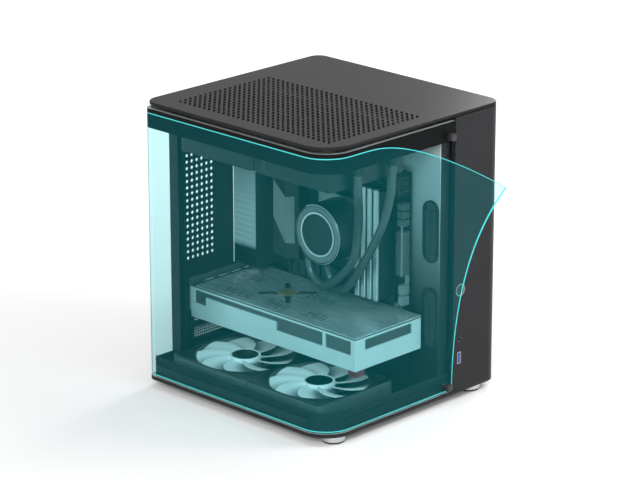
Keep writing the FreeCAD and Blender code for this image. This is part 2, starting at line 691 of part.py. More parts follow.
def filter_rails():
    """Two folded rails under the floor that hold the filter's front and rear edges."""
    x = "left + base_fan_from_left + fan_size / 2 - filter_width / 2"
    low = "floor - 2 * filter_play - filter_thick - sheet_gauge"
    middle = "(front + base_fan_from_front + fan_size)"
    half = "(filter_length / 2 + filter_play)"
    rails = []
    for name, y, lip in (("front", f"{middle} - {half} - sheet_gauge", "0"),
                         ("rear", f"{middle} + {half}", "sheet_gauge - filter_rail")):
        web = box(f"{name}_rail_web", x, y, low, "filter_width", "sheet_gauge", f"floor - ({low})")
        foot = box(f"{name}_rail_lip", x, f"{y} + ({lip})", low, "filter_width", "filter_rail", "sheet_gauge")
        rails.append(join(f"{name}_rail", [web, foot]))
    return group("filter_rails", rails)


def rear_wall():
    """The rear sheet: a square field of holes, the port opening and four expansion slots."""
    x0 = left + size["glass_return"] + size["shell_gap"]
    x1 = -left - size["corner_rear"] + size["cover_rim"]
    z0, z1 = floor + size["sheet_gauge"], roof - size["cover_edge"] - size["glass_gap"] - size["sheet_gauge"]

    def frame_of(xa, xb, za, zb):
        return plan_wire([(xa, za, 0), (xb, za, 0), (xb, zb, 0), (xa, zb, 0)])

    openings = []
    for column in range(int(size["rear_vent_columns"])):
        for row in range(int(size["rear_vent_rows"])):
            cx = left + size["rear_vent_from_left"] + column * size["vent_pitch"]
            cz = floor + size["rear_vent_lift"] + row * size["vent_pitch"]
            r = size["rear_vent_hole"]
            corners = [(cx + r * math.cos(math.radians(60 * k)), cz + r * math.sin(math.radians(60 * k)), 0)
                       for k in range(6)]
            openings.append(plan_wire(corners))
    play = size["hole_play"]
    ports = (board_face - size["port_height"] - play, board_face + play)
    port_low = floor + size["port_lift"] - play
    openings.append(frame_of(ports[0], ports[1], port_low, port_low + size["port_span"] + 2 * play))
    slot_x = board_face - size["card_edge"] + 1
    for k in range(4):
        middle = slot_middle(k)
        openings.append(frame_of(slot_x - size["slot_length"], slot_x,
                                 middle - size["slot_width"] / 2, middle + size["slot_width"] / 2))
    supply_left = left + size["tray_from_left"] + size["sheet_gauge"] + play
    rim = size["slot_cover_lap"]
    openings.append(frame_of(supply_left + rim, min(supply_left + size["supply_width"], x1) - rim,
                             z0 + rim, z0 + size["supply_height"] - rim))
    wall = slab(frame_of(x0, x1, z0, z1), openings, 0, size["sheet_gauge"])
    wall.rotate(Vector(), Vector(1, 0, 0), 90)
    wall.translate(Vector(0, back - size["rear_inset"], 0))
    return feature("rear_wall", wall)


def slot_middle(number):
    """Height of an expansion slot's middle; slot 0 is the graphics card's own."""
    board = size["card_plate"] + size["board_thick"] / 2
    return floor + size["card_top"] - board - number * size["slot_pitch"]


def tray():
    """The upright sheet that carries the main board, with two rounded cable slots and stand-offs."""
    plate = box("tray_plate", "tray_face", "front + frame_inner", "deck",
                "sheet_gauge", "wall_in - front - frame_inner", "ceiling - deck")
    slots = []
    for level in ("cable_slot_low", "cable_slot_high"):
        slots += round_slot("cable_slot", "tray_face - 1", f"floor + {level}", "cable_slot_width",
                            "cable_slot_height", "sheet_gauge + 2")
    studs = []
    for y in ("board_front + stand_off_inset", "board_front + board_size / 2", "board_end - stand_off_inset"):
        for z in ("floor + board_lift + stand_off_inset",
                  "floor + board_lift + board_size - stand_off_inset"):
            studs.append(rod("stand_off", "board_back", y, z, "screw_shank_radius + stand_off_wall",
                             "board_stand + sheet_gauge / 2", "X"))
    return join("motherboard_tray", [cut("tray_cut", plate, slots)] + studs)


def round_slot(name, x, z, width, height, depth):
    """A block with two round ends, through the tray."""
    y = "(front + cable_slot_from_front)"
    pieces = [box(name, x, f"{y} - ({width}) / 2", f"{z} - ({height}) / 2 + ({width}) / 2",
                  depth, width, f"{height} - ({width})")]
    for sign in ("-", "+"):
        pieces.append(rod(f"{name}_end", x, y, f"{z} {sign} (({height}) - ({width})) / 2",
                          f"({width}) / 2", depth, "X"))
    return [join(f"{name}_room", pieces)]


def grommets():
    """A soft lip round each cable slot."""
    lips = []
    for level in ("cable_slot_low", "cable_slot_high"):
        outer = round_slot("lip", "tray_face - grommet_wall", f"floor + {level}",
                           "cable_slot_width + 2 * grommet_wall", "cable_slot_height + 2 * grommet_wall",
                           "grommet_wall")
        inner = round_slot("lip_room", "tray_face - grommet_wall - 1", f"floor + {level}",
                           "cable_slot_width - grommet_wall", "cable_slot_height - grommet_wall",
                           "grommet_wall + 2")
        lips.append(cut("grommet", outer[0], inner))
    return group("cable_grommets", lips)


def post(name, x, width, y, opening):
    """A folded upright: a channel that opens to the back or the front."""
    height = "ceiling - deck"
    outer = box(f"{name}_blank", x, y, "deck", width, "post_depth", height)
    inner = box(f"{name}_room", f"{x} + sheet_gauge", f"{y} {opening} sheet_gauge", "deck - 1",
                f"{width} - 2 * sheet_gauge", "post_depth", f"{height} + 2")
    return outer, inner


def front_post():
    """The post behind the glass's front edge, which the thumb screws go into."""
    outer, inner = post("front_post", "tray_face + sheet_gauge", "glass_width - tray_from_left - sheet_gauge",
                        "front + frame_inner", "+")
    return cut("front_post", outer, [inner] + glass_holes("front", "frame_inner + 4"))


def rear_post():
    """The post behind the glass's short return. It ends under the radiator."""
    outer, inner = post("rear_post", "left + glass_return - rear_post_width / 2", "rear_post_width",
                        "back - frame_inner - post_depth", "-")
    end = box("rear_post_end", "left", "back - 2 * frame_inner - post_depth", "radiator_floor - hole_play",
              "glass_return + rear_post_width", "post_depth + 2 * frame_inner", "radiator_thick + hole_play")
    return cut("rear_post", outer, [inner, end])


def right_shell():
    """One folded sheet: the front strip with its controls, the rounded corner and the right side."""
    band = ring("shell_band", "0", "sheet_gauge", "floor + base_edge",
                "body_height - base_edge - cover_edge - shell_drop")
    fold = box("shell_fold", "left + glass_width + shell_gap", "front + sheet_gauge / 2", "floor + base_edge",
               "sheet_gauge", "frame_inset - sheet_gauge / 2",
               "body_height - base_edge - cover_edge - shell_drop")
    cuts = [box("shell_front_cut", "left - 1", "front - 1", "floor", "glass_width + shell_gap + 1",
                "case_depth + 2", "body_height"),
            box("shell_rear_cut", "left - 1", "(front + back) / 2", "floor",
                "case_width - shell_return + 1", "case_depth", "body_height")]
    through = "frame_inset"
    cuts.append(rod("button_room", "strip_x", "front - 1", "floor + button_height",
                    "button_radius + button_play + ring_wall / 2 + round_play", through, "Y"))
    cuts.append(rod("mic_hole", "strip_x", "front - 1", "floor + mic_height", "mic_radius", through, "Y"))
    cuts.append(rod("jack_room", "strip_x", "front - 1", "floor + jack_height",
                    "jack_body + round_play", through, "Y"))
    cuts.append(box("usb_room", "strip_x - usb_width / 2 - hole_play / 4", "front - 1",
                    "floor + usb_height - usb_length / 2 - hole_play / 4",
                    "usb_width + hole_play / 2", through, "usb_length + hole_play / 2"))
    for level in range(int(size["side_vents"])):
        cuts.append(box("side_vent", "right - frame_inset",
                        "back - shell_return - supply_depth + side_vent_margin",
                        f"floor + side_vent_lift + {level} * side_vent_pitch", "frame_inset + 1",
                        "supply_depth - 2 * side_vent_margin", "side_vent_width"))
    return join("right_shell", [cut("shell_cut", band, cuts), fold])


# The film


def film_end():
    """What the film leaves bare: all past a cut across the rear left bend, at the film's turn."""
    turn = math.radians(size["film_rear_turn"])
    reach = 2 * size["corner_rear"]
    beyond = document.addObject("Part::Box", "film_end_cut")
    beyond.Length, beyond.Width = reach + size["glass_return"], reach
    beyond.setExpression("Height", bound("body_height"))
    beyond.Placement = FreeCAD.Placement(
        Vector(left + size["corner_rear"] - reach * math.cos(turn),
               back - size["corner_rear"] + reach * math.sin(turn), floor),
        Rotation(Vector(0, 0, 1), -size["film_rear_turn"]))
    return beyond


def film():
    """A thin film on the glass whose upper front corner is peeled off.

    The film's plan on the front is a rectangle in u and t, both from 0 to 1. Past the line from its
    top left to its bottom right, where u + t = 1, it lifts off by the square of u + t - 1: outwards
    by the reach and down by the drop. The start of that lift is softened, and is never inwards.
    """
    x0, x1 = left + size["film_peel_start"], left + size["glass_width"]
    z0 = floor + size["glass_lift"] + size["film_base_margin"]
    z1 = roof - size["cover_edge"] - size["glass_gap"] - size["film_top_margin"]
    outer = front + size["glass_inset"] - size["film_gap"] - size["film_thick"]
    lift = outer - (front - size["film_reach"])
    across, up = 9, 13
    rows = []
    for i in range(across):
        u = i / (across - 1)
        row = []
        for k in range(up):
            t = k / (up - 1)
            past = u + t - 1
            peel = ((past + math.hypot(past, 0.1)) / 2) ** 2
            row.append(Vector(x0 + (x1 - x0) * u, outer - lift * peel,
                              z0 + (z1 - z0) * t - size["film_drop"] * peel))
        rows.append(row)
    surface = Part.BSplineSurface()
    surface.interpolate(rows)
    free = feature("film_free", surface.toShape().extrude(Vector(0, size["film_thick"], 0)))
    band = ring("film_band", "glass_inset - film_gap - film_thick", "glass_inset - film_gap",
                "glass_low + film_base_margin",
                "glass_top - film_top_margin - glass_low - film_base_margin")
    held = cut("film_held", band, front_of_glass("film", "left + film_peel_start") + [film_end()])
    hole = rod("film_hole", "screw_x", "front - 1", "glass_low + screw_from_base", "film_screw_hole",
               "glass_inset + 2", "Y")
    return cut("protective_film", join("film_whole", [held, free]), [hole])


# Screws and controls


def glass_screws():
    """Two thumb screws that clamp the glass to the front post."""
    screws = []
    for height in ("glass_top - screw_from_top", "glass_low + screw_from_base"):
        head = rod("head", "screw_x", "front + glass_inset - screw_head", height,
                   "screw_head_radius", "screw_head", "Y")
        shank = rod("shank", "screw_x", "front + glass_inset", height, "screw_shank_radius",
                    "screw_shank", "Y")
        screws.append(join("glass_screw", [head, shank]))
    return group("glass_screws", screws)


def button_ring():
    """The bright ring in the strip: a lip outside and a sleeve through the sheet."""
    z = "floor + button_height"
    lip = rod("ring_lip", "strip_x", "front - ring_proud", z, "button_radius + button_play + ring_wall",
              "ring_proud", "Y")
    sleeve = rod("ring_sleeve", "strip_x", "front", z, "button_radius + button_play + ring_wall / 2",
                 "2 * sheet_gauge", "Y")
    room = rod("ring_room", "strip_x", "front - 1", z, "button_radius + button_play", "5 * sheet_gauge", "Y")
    return cut("button_ring", join("ring_blank", [lip, sleeve]), [room])


def power_button():
    """A round button with a shallow dish in its face."""
    z = "floor + button_height"
    cap = rod("cap", "strip_x", "front - ring_proud / 2", z, "button_radius", "button_depth", "Y")
    dish = rod("dish", "strip_x", "front - 1", z, "button_radius * 0.62", "1 + ring_proud / 2", "Y")
    return cut("power_button", cap, [dish])


def usb_socket():
    """A metal shell, open to the front, with its contact tongue inside."""
    x, z = "strip_x - usb_width / 2", "floor + usb_height - usb_length / 2"
    shell = box("usb_shell", x, "front", z, "usb_width", "socket_depth", "usb_length")
    room = box("usb_mouth", f"{x} + usb_wall", "front - 1", f"{z} + usb_wall", "usb_width - 2 * usb_wall",
               "socket_depth - 1", "usb_length - 2 * usb_wall")
    tongue = box("usb_tongue", "strip_x - usb_wall / 2", "front + usb_wall", f"{z} + 2 * usb_wall",
                 "usb_width / 2 - 2 * usb_wall", "socket_depth - usb_wall", "usb_length - 4 * usb_wall")
    return join("usb_socket", [cut("usb_case", shell, [room]), tongue])


def audio_jack():
    """A round sleeve with a bore, flush with the strip."""
    z = "floor + jack_height"
    body = rod("jack_sleeve", "strip_x", "front", z, "jack_body", "socket_depth", "Y")
    bore = rod("jack_bore", "strip_x", "front - 1", z, "jack_radius", "socket_depth", "Y")
    return cut("audio_jack", body, [bore])


def control_board():
    """The small board behind the strip, on two spacers, with the button's switch."""
    y = "front + socket_depth"
    board = box("control_plate", "strip_x - jack_body * 2", y, "floor + usb_height - usb_length",
                "jack_body * 4", "control_board", "button_height - usb_height + 2 * usb_length")
    parts = [board]
    for z in ("floor + usb_height - usb_length * 0.75", "floor + button_height + usb_length * 0.75"):
        parts.append(rod("spacer", "strip_x", "front + sheet_gauge", z, "screw_shank_radius",
                         "socket_depth - sheet_gauge + control_board / 2", "Y"))
    switch_depth = "(socket_depth - button_depth + ring_proud / 2 - button_travel - hole_play)"
    parts.append(box("switch", "strip_x - jack_body", f"{y} - {switch_depth}",
                     "floor + button_height - jack_body", "2 * jack_body",
                     f"{switch_depth} + control_board / 2", "2 * jack_body"))
    return join("control_board", parts)


# Fans


def fan_frame(name, x, y, z, fixed_end):
    """A square frame with a round opening, and the cross that holds the motor at one end."""
    block = box(f"{name}_block", x, y, z, "fan_size", "fan_size", "fan_depth")
    rounded = document.addObject("Part::Fillet", f"{name}_rounded")
    rounded.Base = block
    rounded.Edges = [(edge, size["fan_corner"], size["fan_corner"]) for edge in (1, 3, 5, 7)]
    cx, cy = f"{x} + fan_size / 2", f"{y} + fan_size / 2"
    bore = rod(f"{name}_bore", cx, cy, f"{z} - 1", "fan_bore", "fan_depth + 2")
    open_frame = cut(f"{name}_open", rounded, [bore])
    base = z if fixed_end == "low" else f"{z} + fan_depth - fan_arm / 2"
    arms = [box(f"{name}_arm", f"{cx} - fan_bore - 1", f"{cy} - fan_arm / 2", base,
                "2 * fan_bore + 2", "fan_arm", "fan_arm / 2"),
            box(f"{name}_cross", f"{cx} - fan_arm / 2", f"{cy} - fan_bore - 1", base,
                "fan_arm", "2 * fan_bore + 2", "fan_arm / 2"),
            rod(f"{name}_motor", cx, cy, base, "fan_hub", "fan_arm / 2")]
    bearing = rod(f"{name}_bearing", cx, cy, f"{base} - 1", "shaft_radius + shaft_play", "fan_arm / 2 + 2")
    return cut(name, join(f"{name}_solid", [open_frame] + arms), [bearing])


def rotor(name, centre, turn, hub, tip, height, blades, shaft, sweep=28.0, cover=0.93):
    """A hub with curved blades and a shaft at its lower end.

    A blade is one sheet through three sections, at its root, half way out and at its tip. They
    sweep round by an angle that grows with the radius, and each falls from the blade's high edge to
    its low edge. Before it is turned, the rotor's axis is Z and the hub starts at height 0.
    """
    thick = size["blade_thick"]
    hub_shape = Part.makeCylinder(hub, height)
    chord = 360.0 / blades * cover
    climb = height - 2 * thick - 2
    root = hub - 1.5
    sheets = []
    for blade in range(blades):
        sections = []
        for out in (0.0, 0.5, 1.0):
            r = root + (tip - root) * out
            corners = []
            for across, drop in ((0, 0), (1, 0), (1, thick), (0, thick)):
                angle = math.radians(360.0 * blade / blades + sweep * out ** 1.5 + (across - 0.5) * chord)
                level = 1 + thick + climb * (1 - across) - drop
                corners.append((r * math.cos(angle), r * math.sin(angle), level))
            sections.append(plan_wire(corners))
        sheets.append(Part.makeLoft(sections, True, True))
    pin = Part.makeCylinder(size["shaft_radius"], shaft + 1, Vector(0, 0, -shaft))
    shape = hub_shape.fuse(sheets + [pin]).removeSplitter()
    item = document.addObject("Part::Feature", name)
    item.Shape = shape
    item.Placement = FreeCAD.Placement(Vector(*centre), turn)
    return item


UPRIGHT = Rotation()
HANGING = Rotation(Vector(1, 0, 0), 180)
TO_THE_LEFT = Rotation(Vector(0, 1, 0), -90)


def fans():
    """Two fans in the floor that blow up and two under the radiator, each a frame and a rotor."""
    arm = size["fan_arm"] / 2
    play = size["hole_play"]
    turning = size["fan_depth"] - arm - 2 * play
    half = size["fan_size"] / 2
    for number, end in enumerate(("front", "rear")):
        y = f"front + base_fan_from_front + {number} * fan_size"
        node(fan_frame(f"base_fan_{end}", "left + base_fan_from_left", y, "floor + base_fan_lift", "low"))
        middle = (left + size["base_fan_from_left"] + half,
                  front + size["base_fan_from_front"] + (number + 0.5) * 2 * half,
                  floor + size["base_fan_lift"] + arm + play)
        node(rotor(f"base_rotor_{end}", middle, UPRIGHT, size["fan_hub"], size["fan_tip"], turning,
                   int(size["base_fan_blades"]), arm))
        low = "radiator_floor - fan_depth"
        node(fan_frame(f"top_fan_{end}", "stack_left", f"stack_front + {number} * fan_size", low, "high"))
        ceiling = roof - size["cover_edge"] - size["glass_gap"] - size["sheet_gauge"]
        middle = (left + size["stack_from_left"] + half,
                  front + size["stack_from_front"] + (number + 0.5) * 2 * half,
                  ceiling - size["radiator_thick"] - arm - play)
        node(rotor(f"top_rotor_{end}", middle, HANGING, size["fan_hub"], size["fan_tip"], turning,
                   int(size["top_fan_blades"]), arm))


# Liquid cooler


def radiator():
    """Two end tanks and a finned core between them, which shows as long flat tubes."""
    x, z = "stack_left", "radiator_floor"
    block = box("radiator_block", x, "stack_front - radiator_tank", z, "fan_size",
                "2 * fan_size + 2 * radiator_tank", "radiator_thick")
    recess = "(radiator_thick / 9)"
    pockets = [box("core_low", f"{x} + fan_corner", "stack_front", f"{z} - 1", "fan_size - 2 * fan_corner",
                   "2 * fan_size", f"{recess} + 1"),
               box("core_high", f"{x} + fan_corner", "stack_front", f"{z} + radiator_thick - {recess}",
                   "fan_size - 2 * fan_corner", "2 * fan_size", f"{recess} + 1")]
    core = cut("radiator_core", block, pockets)
    tubes = []
    for number in range(1, 12):
        across = f"{x} + {number} * fan_size / 12 - blade_thick / 2"
        for level in ("0", f"radiator_thick - {recess}"):
            tubes.append(box("tube", across, "stack_front", f"{z} + {level}", "blade_thick",
                             "2 * fan_size", recess))
    return join("radiator", [core] + tubes)


HOSES = {
    # Route points, at even steps from the pump's fitting to the radiator's: what each adds to the
    # straight line between the two, in x, y and z. The first and last stand right under a fitting.
    "hose_return": ((0, 0, -21), (10, 10.5, -59), (19, 13.5, -84.5), (18, -16, -67), (21, -6.5, -47),
                    (10, -5.5, -33), (0, 0, -32)),
    "hose_supply": ((0, 0, -19.5), (1, 3, -50), (-1, -2, -68), (-5.5, -9, -65), (-7.5, -13, -61.5),
                    (-7.5, -16, -54.5), (-6, -17, -45.5), (-3, -12, -32.5), (0, 0, -30)),
}
HOSE_ENDS = {
    # each hose's fittings: inward from the pump's face, back from its centre, and from the radiator's left
    "hose_return": (10, 24, 35),
    "hose_supply": (22, 4, 90),
}


def hose_ends(name):
    """Where a hose's two fittings stand: on the pump's rim and under the radiator's front tank."""
    inward, along, across = HOSE_ENDS[name]
    x = board_face - size["pump_stand"] - size["pump_height"] + inward
    y = pump_y + along
    rim = math.sqrt(size["pump_radius"] ** 2 - along ** 2)
    low = Vector(x, y, pump_z - rim)
    ceiling = roof - size["cover_edge"] - size["glass_gap"] - size["sheet_gauge"]
    high = Vector(left + size["stack_from_left"] + across,
                  front + size["stack_from_front"] - size["radiator_tank"] / 2,
                  ceiling - size["radiator_thick"])
    return low, high


def hose(name):
    """A round hose along straight runs joined by tangent arcs, from fitting to fitting."""
    low, high = hose_ends(name)
    down = Vector(0, 0, size["fitting_length"])
    radius = size["hose_radius"]
    steps = len(HOSES[name]) - 1
    points = [low + (high - low) * (step / steps) + Vector(*offset)
              for step, offset in enumerate(HOSES[name])]
    points = [low - down] + points + [high - down]
    parts, here, bends, length = [], points[0], [], 0.0
    for before, corner, after in zip(points, points[1:], points[2:]):
        into, out = corner - before, after - corner
        turn = into.getAngle(out)
        trim = 0.45 * min(into.Length, out.Length)
        bend = trim / math.tan(turn / 2)
        into.normalize()
        out.normalize()
        start, end = corner - into * trim, corner + out * trim
        parts.append(Part.makeCylinder(radius, (start - here).Length, here, into))
        axis = into.cross(out)
        centre = start + axis.cross(into).normalize() * bend
        disc = Part.Face(Part.Wire(Part.makeCircle(radius, start, into)))
        parts.append(disc.revolve(centre, axis, math.degrees(turn)))
        length += (start - here).Length + bend * turn
        bends.append(bend)
        here = end
    parts.append(Part.makeCylinder(radius, (points[-1] - here).Length, here, points[-1] - here))
    length += (points[-1] - here).Length
    tube = parts[0].fuse(parts[1:]).removeSplitter()
    print(name, "length", round(length), "bends", [round(bend) for bend in bends],
          "volume to length", round(tube.Volume / (math.pi * radius ** 2 * length), 4))
    return feature(name, tube)


def hose_fittings():
    """Four round fittings: two under the pump's rim and two under the radiator's front tank."""
    pieces = []
    for name in HOSES:
        low, high = hose_ends(name)
        for end, sunk in ((low, 4), (high, 0)):
            length = size["fitting_length"] + sunk
            pieces.append(Part.makeCylinder(size["fitting_radius"], length,
                                            end - Vector(0, 0, size["fitting_length"])))
    pump = Part.makeCylinder(size["pump_radius"] + size["round_play"], size["pump_height"],
                             Vector(board_face - size["pump_stand"] - size["pump_height"], pump_y, pump_z),
                             Vector(1, 0, 0))
    return feature("hose_fittings", Part.makeCompound([piece.cut(pump) for piece in pieces]))


def pump_parts():
    """The pump on its plate, with a bright ring on its face."""
    node(rod("pump", "pump_face", "pump_y", "pump_z", "pump_radius", "pump_height", "X"))
    rim = rod("pump_rim", "pump_face - pump_ring_proud", "pump_y", "pump_z", "pump_ring_radius",
              "pump_ring_proud", "X")
    room = rod("pump_rim_room", "pump_face - pump_ring_proud - 1", "pump_y", "pump_z",
               "pump_ring_radius - pump_ring_wall", "pump_ring_proud + 2", "X")
    node(cut("pump_ring", rim, [room]))
    plate = box("pump_plate_block", "pump_back", "pump_y - pump_plate / 2", "pump_z - pump_plate / 2",
                "pump_plate_thick", "pump_plate", "pump_plate")
    cold = box("cold_plate", "pump_back + pump_plate_thick / 2", "pump_y - pump_socket / 2",
               "pump_z - pump_socket / 2", "pump_stand / 2 - pump_plate_thick / 2", "pump_socket",
               "pump_socket")
    pieces = [plate, cold]
    for a in ("-", "+"):
        for b in ("-", "+"):
            pieces.append(rod("pump_leg", "pump_back + pump_plate_thick / 2",
                              f"pump_y {a} (pump_plate / 2 - fan_corner)",
                              f"pump_z {b} (pump_plate / 2 - fan_corner)",
                              "screw_shank_radius + stand_off_wall",
                              "pump_stand - pump_plate_thick / 2", "X"))
    node(join("pump_bracket", pieces))


# Main board and what is on it


def motherboard():
    """The board with its processor socket, memory slots, card slot and edge connectors."""
    z = "floor + board_lift"
    plate = box("board_plate", "board_face", "board_front", z, "board_thick", "board_size", "board_size")
    socket = box("processor_socket", "pump_back + pump_stand / 2", "pump_y - pump_socket / 2",
                 "pump_z - pump_socket / 2", "pump_stand / 2 + board_thick / 2", "pump_socket", "pump_socket")
    parts = [plate, socket]
    for number in range(4):
        parts.append(box("memory_slot_block", "board_face - memory_slot",
                         f"board_front + memory_from_board + {number} * memory_pitch - memory_thick / 2",
                         "floor + memory_lift - memory_slot", "memory_slot + board_thick / 2", "memory_thick",
                         "memory_length + 2 * memory_slot"))
    slot = box("card_slot_block", "board_face - card_edge + 0.2", "card_end - slot_length",
               "card_board_low - memory_thick / 2", "card_edge - 0.2 + board_thick / 2", "slot_length - 15",
               "memory_thick + board_thick")
    parts += [slot,
              box("edge_header", "board_face - memory_slot", "board_front + socket_inset",
                  "floor + edge_header_lift", "memory_slot + board_thick / 2", "edge_header_width",
                  "edge_header_length")]
    groove = box("card_groove", "board_face - card_edge", "card_end - slot_length - 1",
                 "card_board_low - 0.2", "card_edge + 0.2", "slot_length - 13", "board_thick + 0.4")
    return cut("motherboard", join("board_blank", parts), [groove])


def voltage_cooler():
    """The block of metal behind the pump: two slopes between three flats, with grooves across."""
    height, depth = size["cooler_height"], size["cooler_depth"]
    end = board_end - size["port_cover_depth"] - size["cooler_from_ports"]
    start, low = end - depth, floor + size["cooler_lift"]
    outline = ((0, 0), (size["cooler_front"], 0), (height, size["cooler_front_slope"]),
               (height, depth - size["cooler_rear_slope"]), (size["cooler_rear"], depth), (0, depth))
    profile = plan_wire([(board_face - up, start + along, low) for up, along in outline])
    block = Part.Face(profile).extrude(Vector(0, 0, size["cooler_length"]))
    reach = height - size["cooler_foot"]
    grooves = []
    for number in range(5):
        level = low + size["cooler_groove_lift"] + number * size["cooler_groove_pitch"]
        grooves.append(Part.makeBox(reach + 1, depth + 2, size["cooler_groove"],
                                    Vector(board_face - height - 1, start - 1, level)))
    return feature("voltage_cooler", block.cut(Part.makeCompound(grooves)))


# Heights of the rear ports, from the lowest up.
PORT_MOUTHS = (14, 14, 26, 14, 26, 14)


def board_pieces():
    """Memory sticks, coolers, port cover, rear ports and the power socket."""
    sticks = []
    for number in range(4):
        y = f"board_front + memory_from_board + {number} * memory_pitch"
        sticks.append(box("memory_stick", "board_face - memory_height", f"{y} - memory_thick / 2",
                          "floor + memory_lift", "memory_height - memory_slot", "memory_thick",
                          "memory_length"))
    node(group("memory_sticks", sticks))
    low = "floor + port_lift"
    shell = box("port_shell", "board_face - port_height", "board_end - port_cover_depth", low,
                "port_height", "port_cover_depth", "port_span")
    room = box("port_room", "board_face - port_height + sheet_gauge", "board_end - port_depth - hole_play",
               f"{low} - 1", "port_height", "port_depth + 1", "port_span + 2")
    ribs = []
    for number in range(5):
        ribs.append(box("port_groove", "board_face - port_height - 1", "board_end - port_cover_depth * 0.8",
                        f"{low} + ({number} + 1) * port_span / 6", "1 + sheet_gauge / 2",
                        "port_cover_depth * 0.6", "blade_thick * 2"))
    node(cut("port_cover", shell, [room] + ribs))
    block = box("port_block", "board_face - port_height + 2 * sheet_gauge", "board_end - port_depth",
                f"{low} + 2", "port_height - 2 * sheet_gauge", "port_depth + rear_inset",
                "port_span - 4")
    mouths = []
    for number, height in enumerate(PORT_MOUTHS):
        below = sum(PORT_MOUTHS[:number])
        mouths.append(box("port_mouth", "board_face - port_height * 0.72", "board_end - port_depth / 3",
                          f"{low} + port_mouth_lift + {below} + {number} * port_mouth_gap",
                          "port_height * 0.5", "port_depth", f"{height} * 0.9"))
    node(cut("rear_ports", block, mouths))
    node(voltage_cooler())
    start = "board_front + drive_cooler_from_board"
    cooler = box("drive_cooler_block", "board_face - drive_cooler_height", start,
                 "card_ceiling + drive_cooler_gap", "drive_cooler_height", "drive_cooler_length",
                 "drive_cooler_width")
    slits = [box("drive_slit", "board_face - drive_cooler_height - 1",
                 f"{start} + drive_slit_margin + drive_slit_pitch * {number}",
                 "card_ceiling + drive_cooler_gap - 1", "drive_slit_depth + 1", "drive_slit_width",
                 "drive_cooler_width + 2") for number in range(int(size["drive_slits"]))]
    node(cut("drive_cooler", cooler, slits))
    node(box("power_socket", "board_face - power_socket_height", "board_front + socket_inset",
             "floor + power_socket_lift", "power_socket_height", "power_socket_width", "power_socket_length"))


# Graphics card


def card_fan_middles():
    """The three fan centres, evenly spaced along the card."""
    x = board_face - size["card_edge"] - size["card_width"] / 2
    end = back - size["rear_inset"] - size["sheet_gauge"] - size["slot_cover_thick"]
    start = end - size["card_length"]
    return [(x, start + (k + 0.5) * size["card_length"] / 3) for k in range(3)]


# The card's side windows: start from its front end, length, and how far below its face they begin.
CARD_WINDOWS = ((7, 40, "card_band_low"), (51, 74, "card_band_low"), (125, 116, "card_band_plate"),
                (241, 19, "card_band_low"))


def card_shroud():
    """A tray of thin walls round the cooler: fan openings below, windows on two sides."""
    outer = box("shroud_block", "card_left", "card_start", "card_floor", "card_width", "card_length",
                "card_board_low - card_floor")
    room = box("shroud_room", "card_left + card_wall", "card_start + card_wall", "card_floor + card_wall",
               "card_width - 2 * card_wall", "card_length - card_wall + 1", "card_thick")
    cuts = [room]
    for x, y in card_fan_middles():
        cuts.append(rod("shroud_opening", str(x), str(y), "card_floor - 1", "card_fan_bore", "card_wall + 2"))
    for start, length, drop in CARD_WINDOWS:
        cuts.append(box("side_window", "card_left - 1", f"card_start + {start}", f"card_ceiling - {drop}",
                        "card_wall + 2", str(length), f"{drop} - card_band_top"))
    cuts.append(box("end_window", "card_left + end_window_from_left", "card_start - 1",
                    "card_ceiling - end_window_low", "end_window_length", "card_wall + 2",
                    "end_window_low - card_band_top"))
    return cut("card_shroud", outer, cuts)


def card_cooler():
    """A finned block under the card's circuit board, with three bearings for the fans."""
    low = "(card_floor + card_wall + hole_play + card_fan_depth)"
    x, y = "card_left + card_wall + 1", "card_start + card_wall + 3"
    width, length = "(card_width - 2 * card_wall - 2)", "(card_length - card_wall - 30)"
    base = box("cooler_base", x, y, "card_board_low - 5", width, length, "5")
    fins = []
    count = int((size["card_length"] - 40) / size["card_fin_pitch"])
    for k in range(count):
        fins.append(box("fin", x, f"{y} + {k} * card_fin_pitch", low, width, "card_fin",
                        f"card_board_low - 4 - {low}"))
    hubs, bores = [], []
    for cx, cy in card_fan_middles():
        hubs.append(rod("fan_seat", str(cx), str(cy), low, "card_fan_hub / 2", f"card_board_low - 4 - {low}"))
        bores.append(rod("fan_bearing", str(cx), str(cy), f"{low} - 1", "shaft_radius + shaft_play", "7"))
    return cut("card_cooler", join("cooler_blank", [base] + fins + hubs), bores)


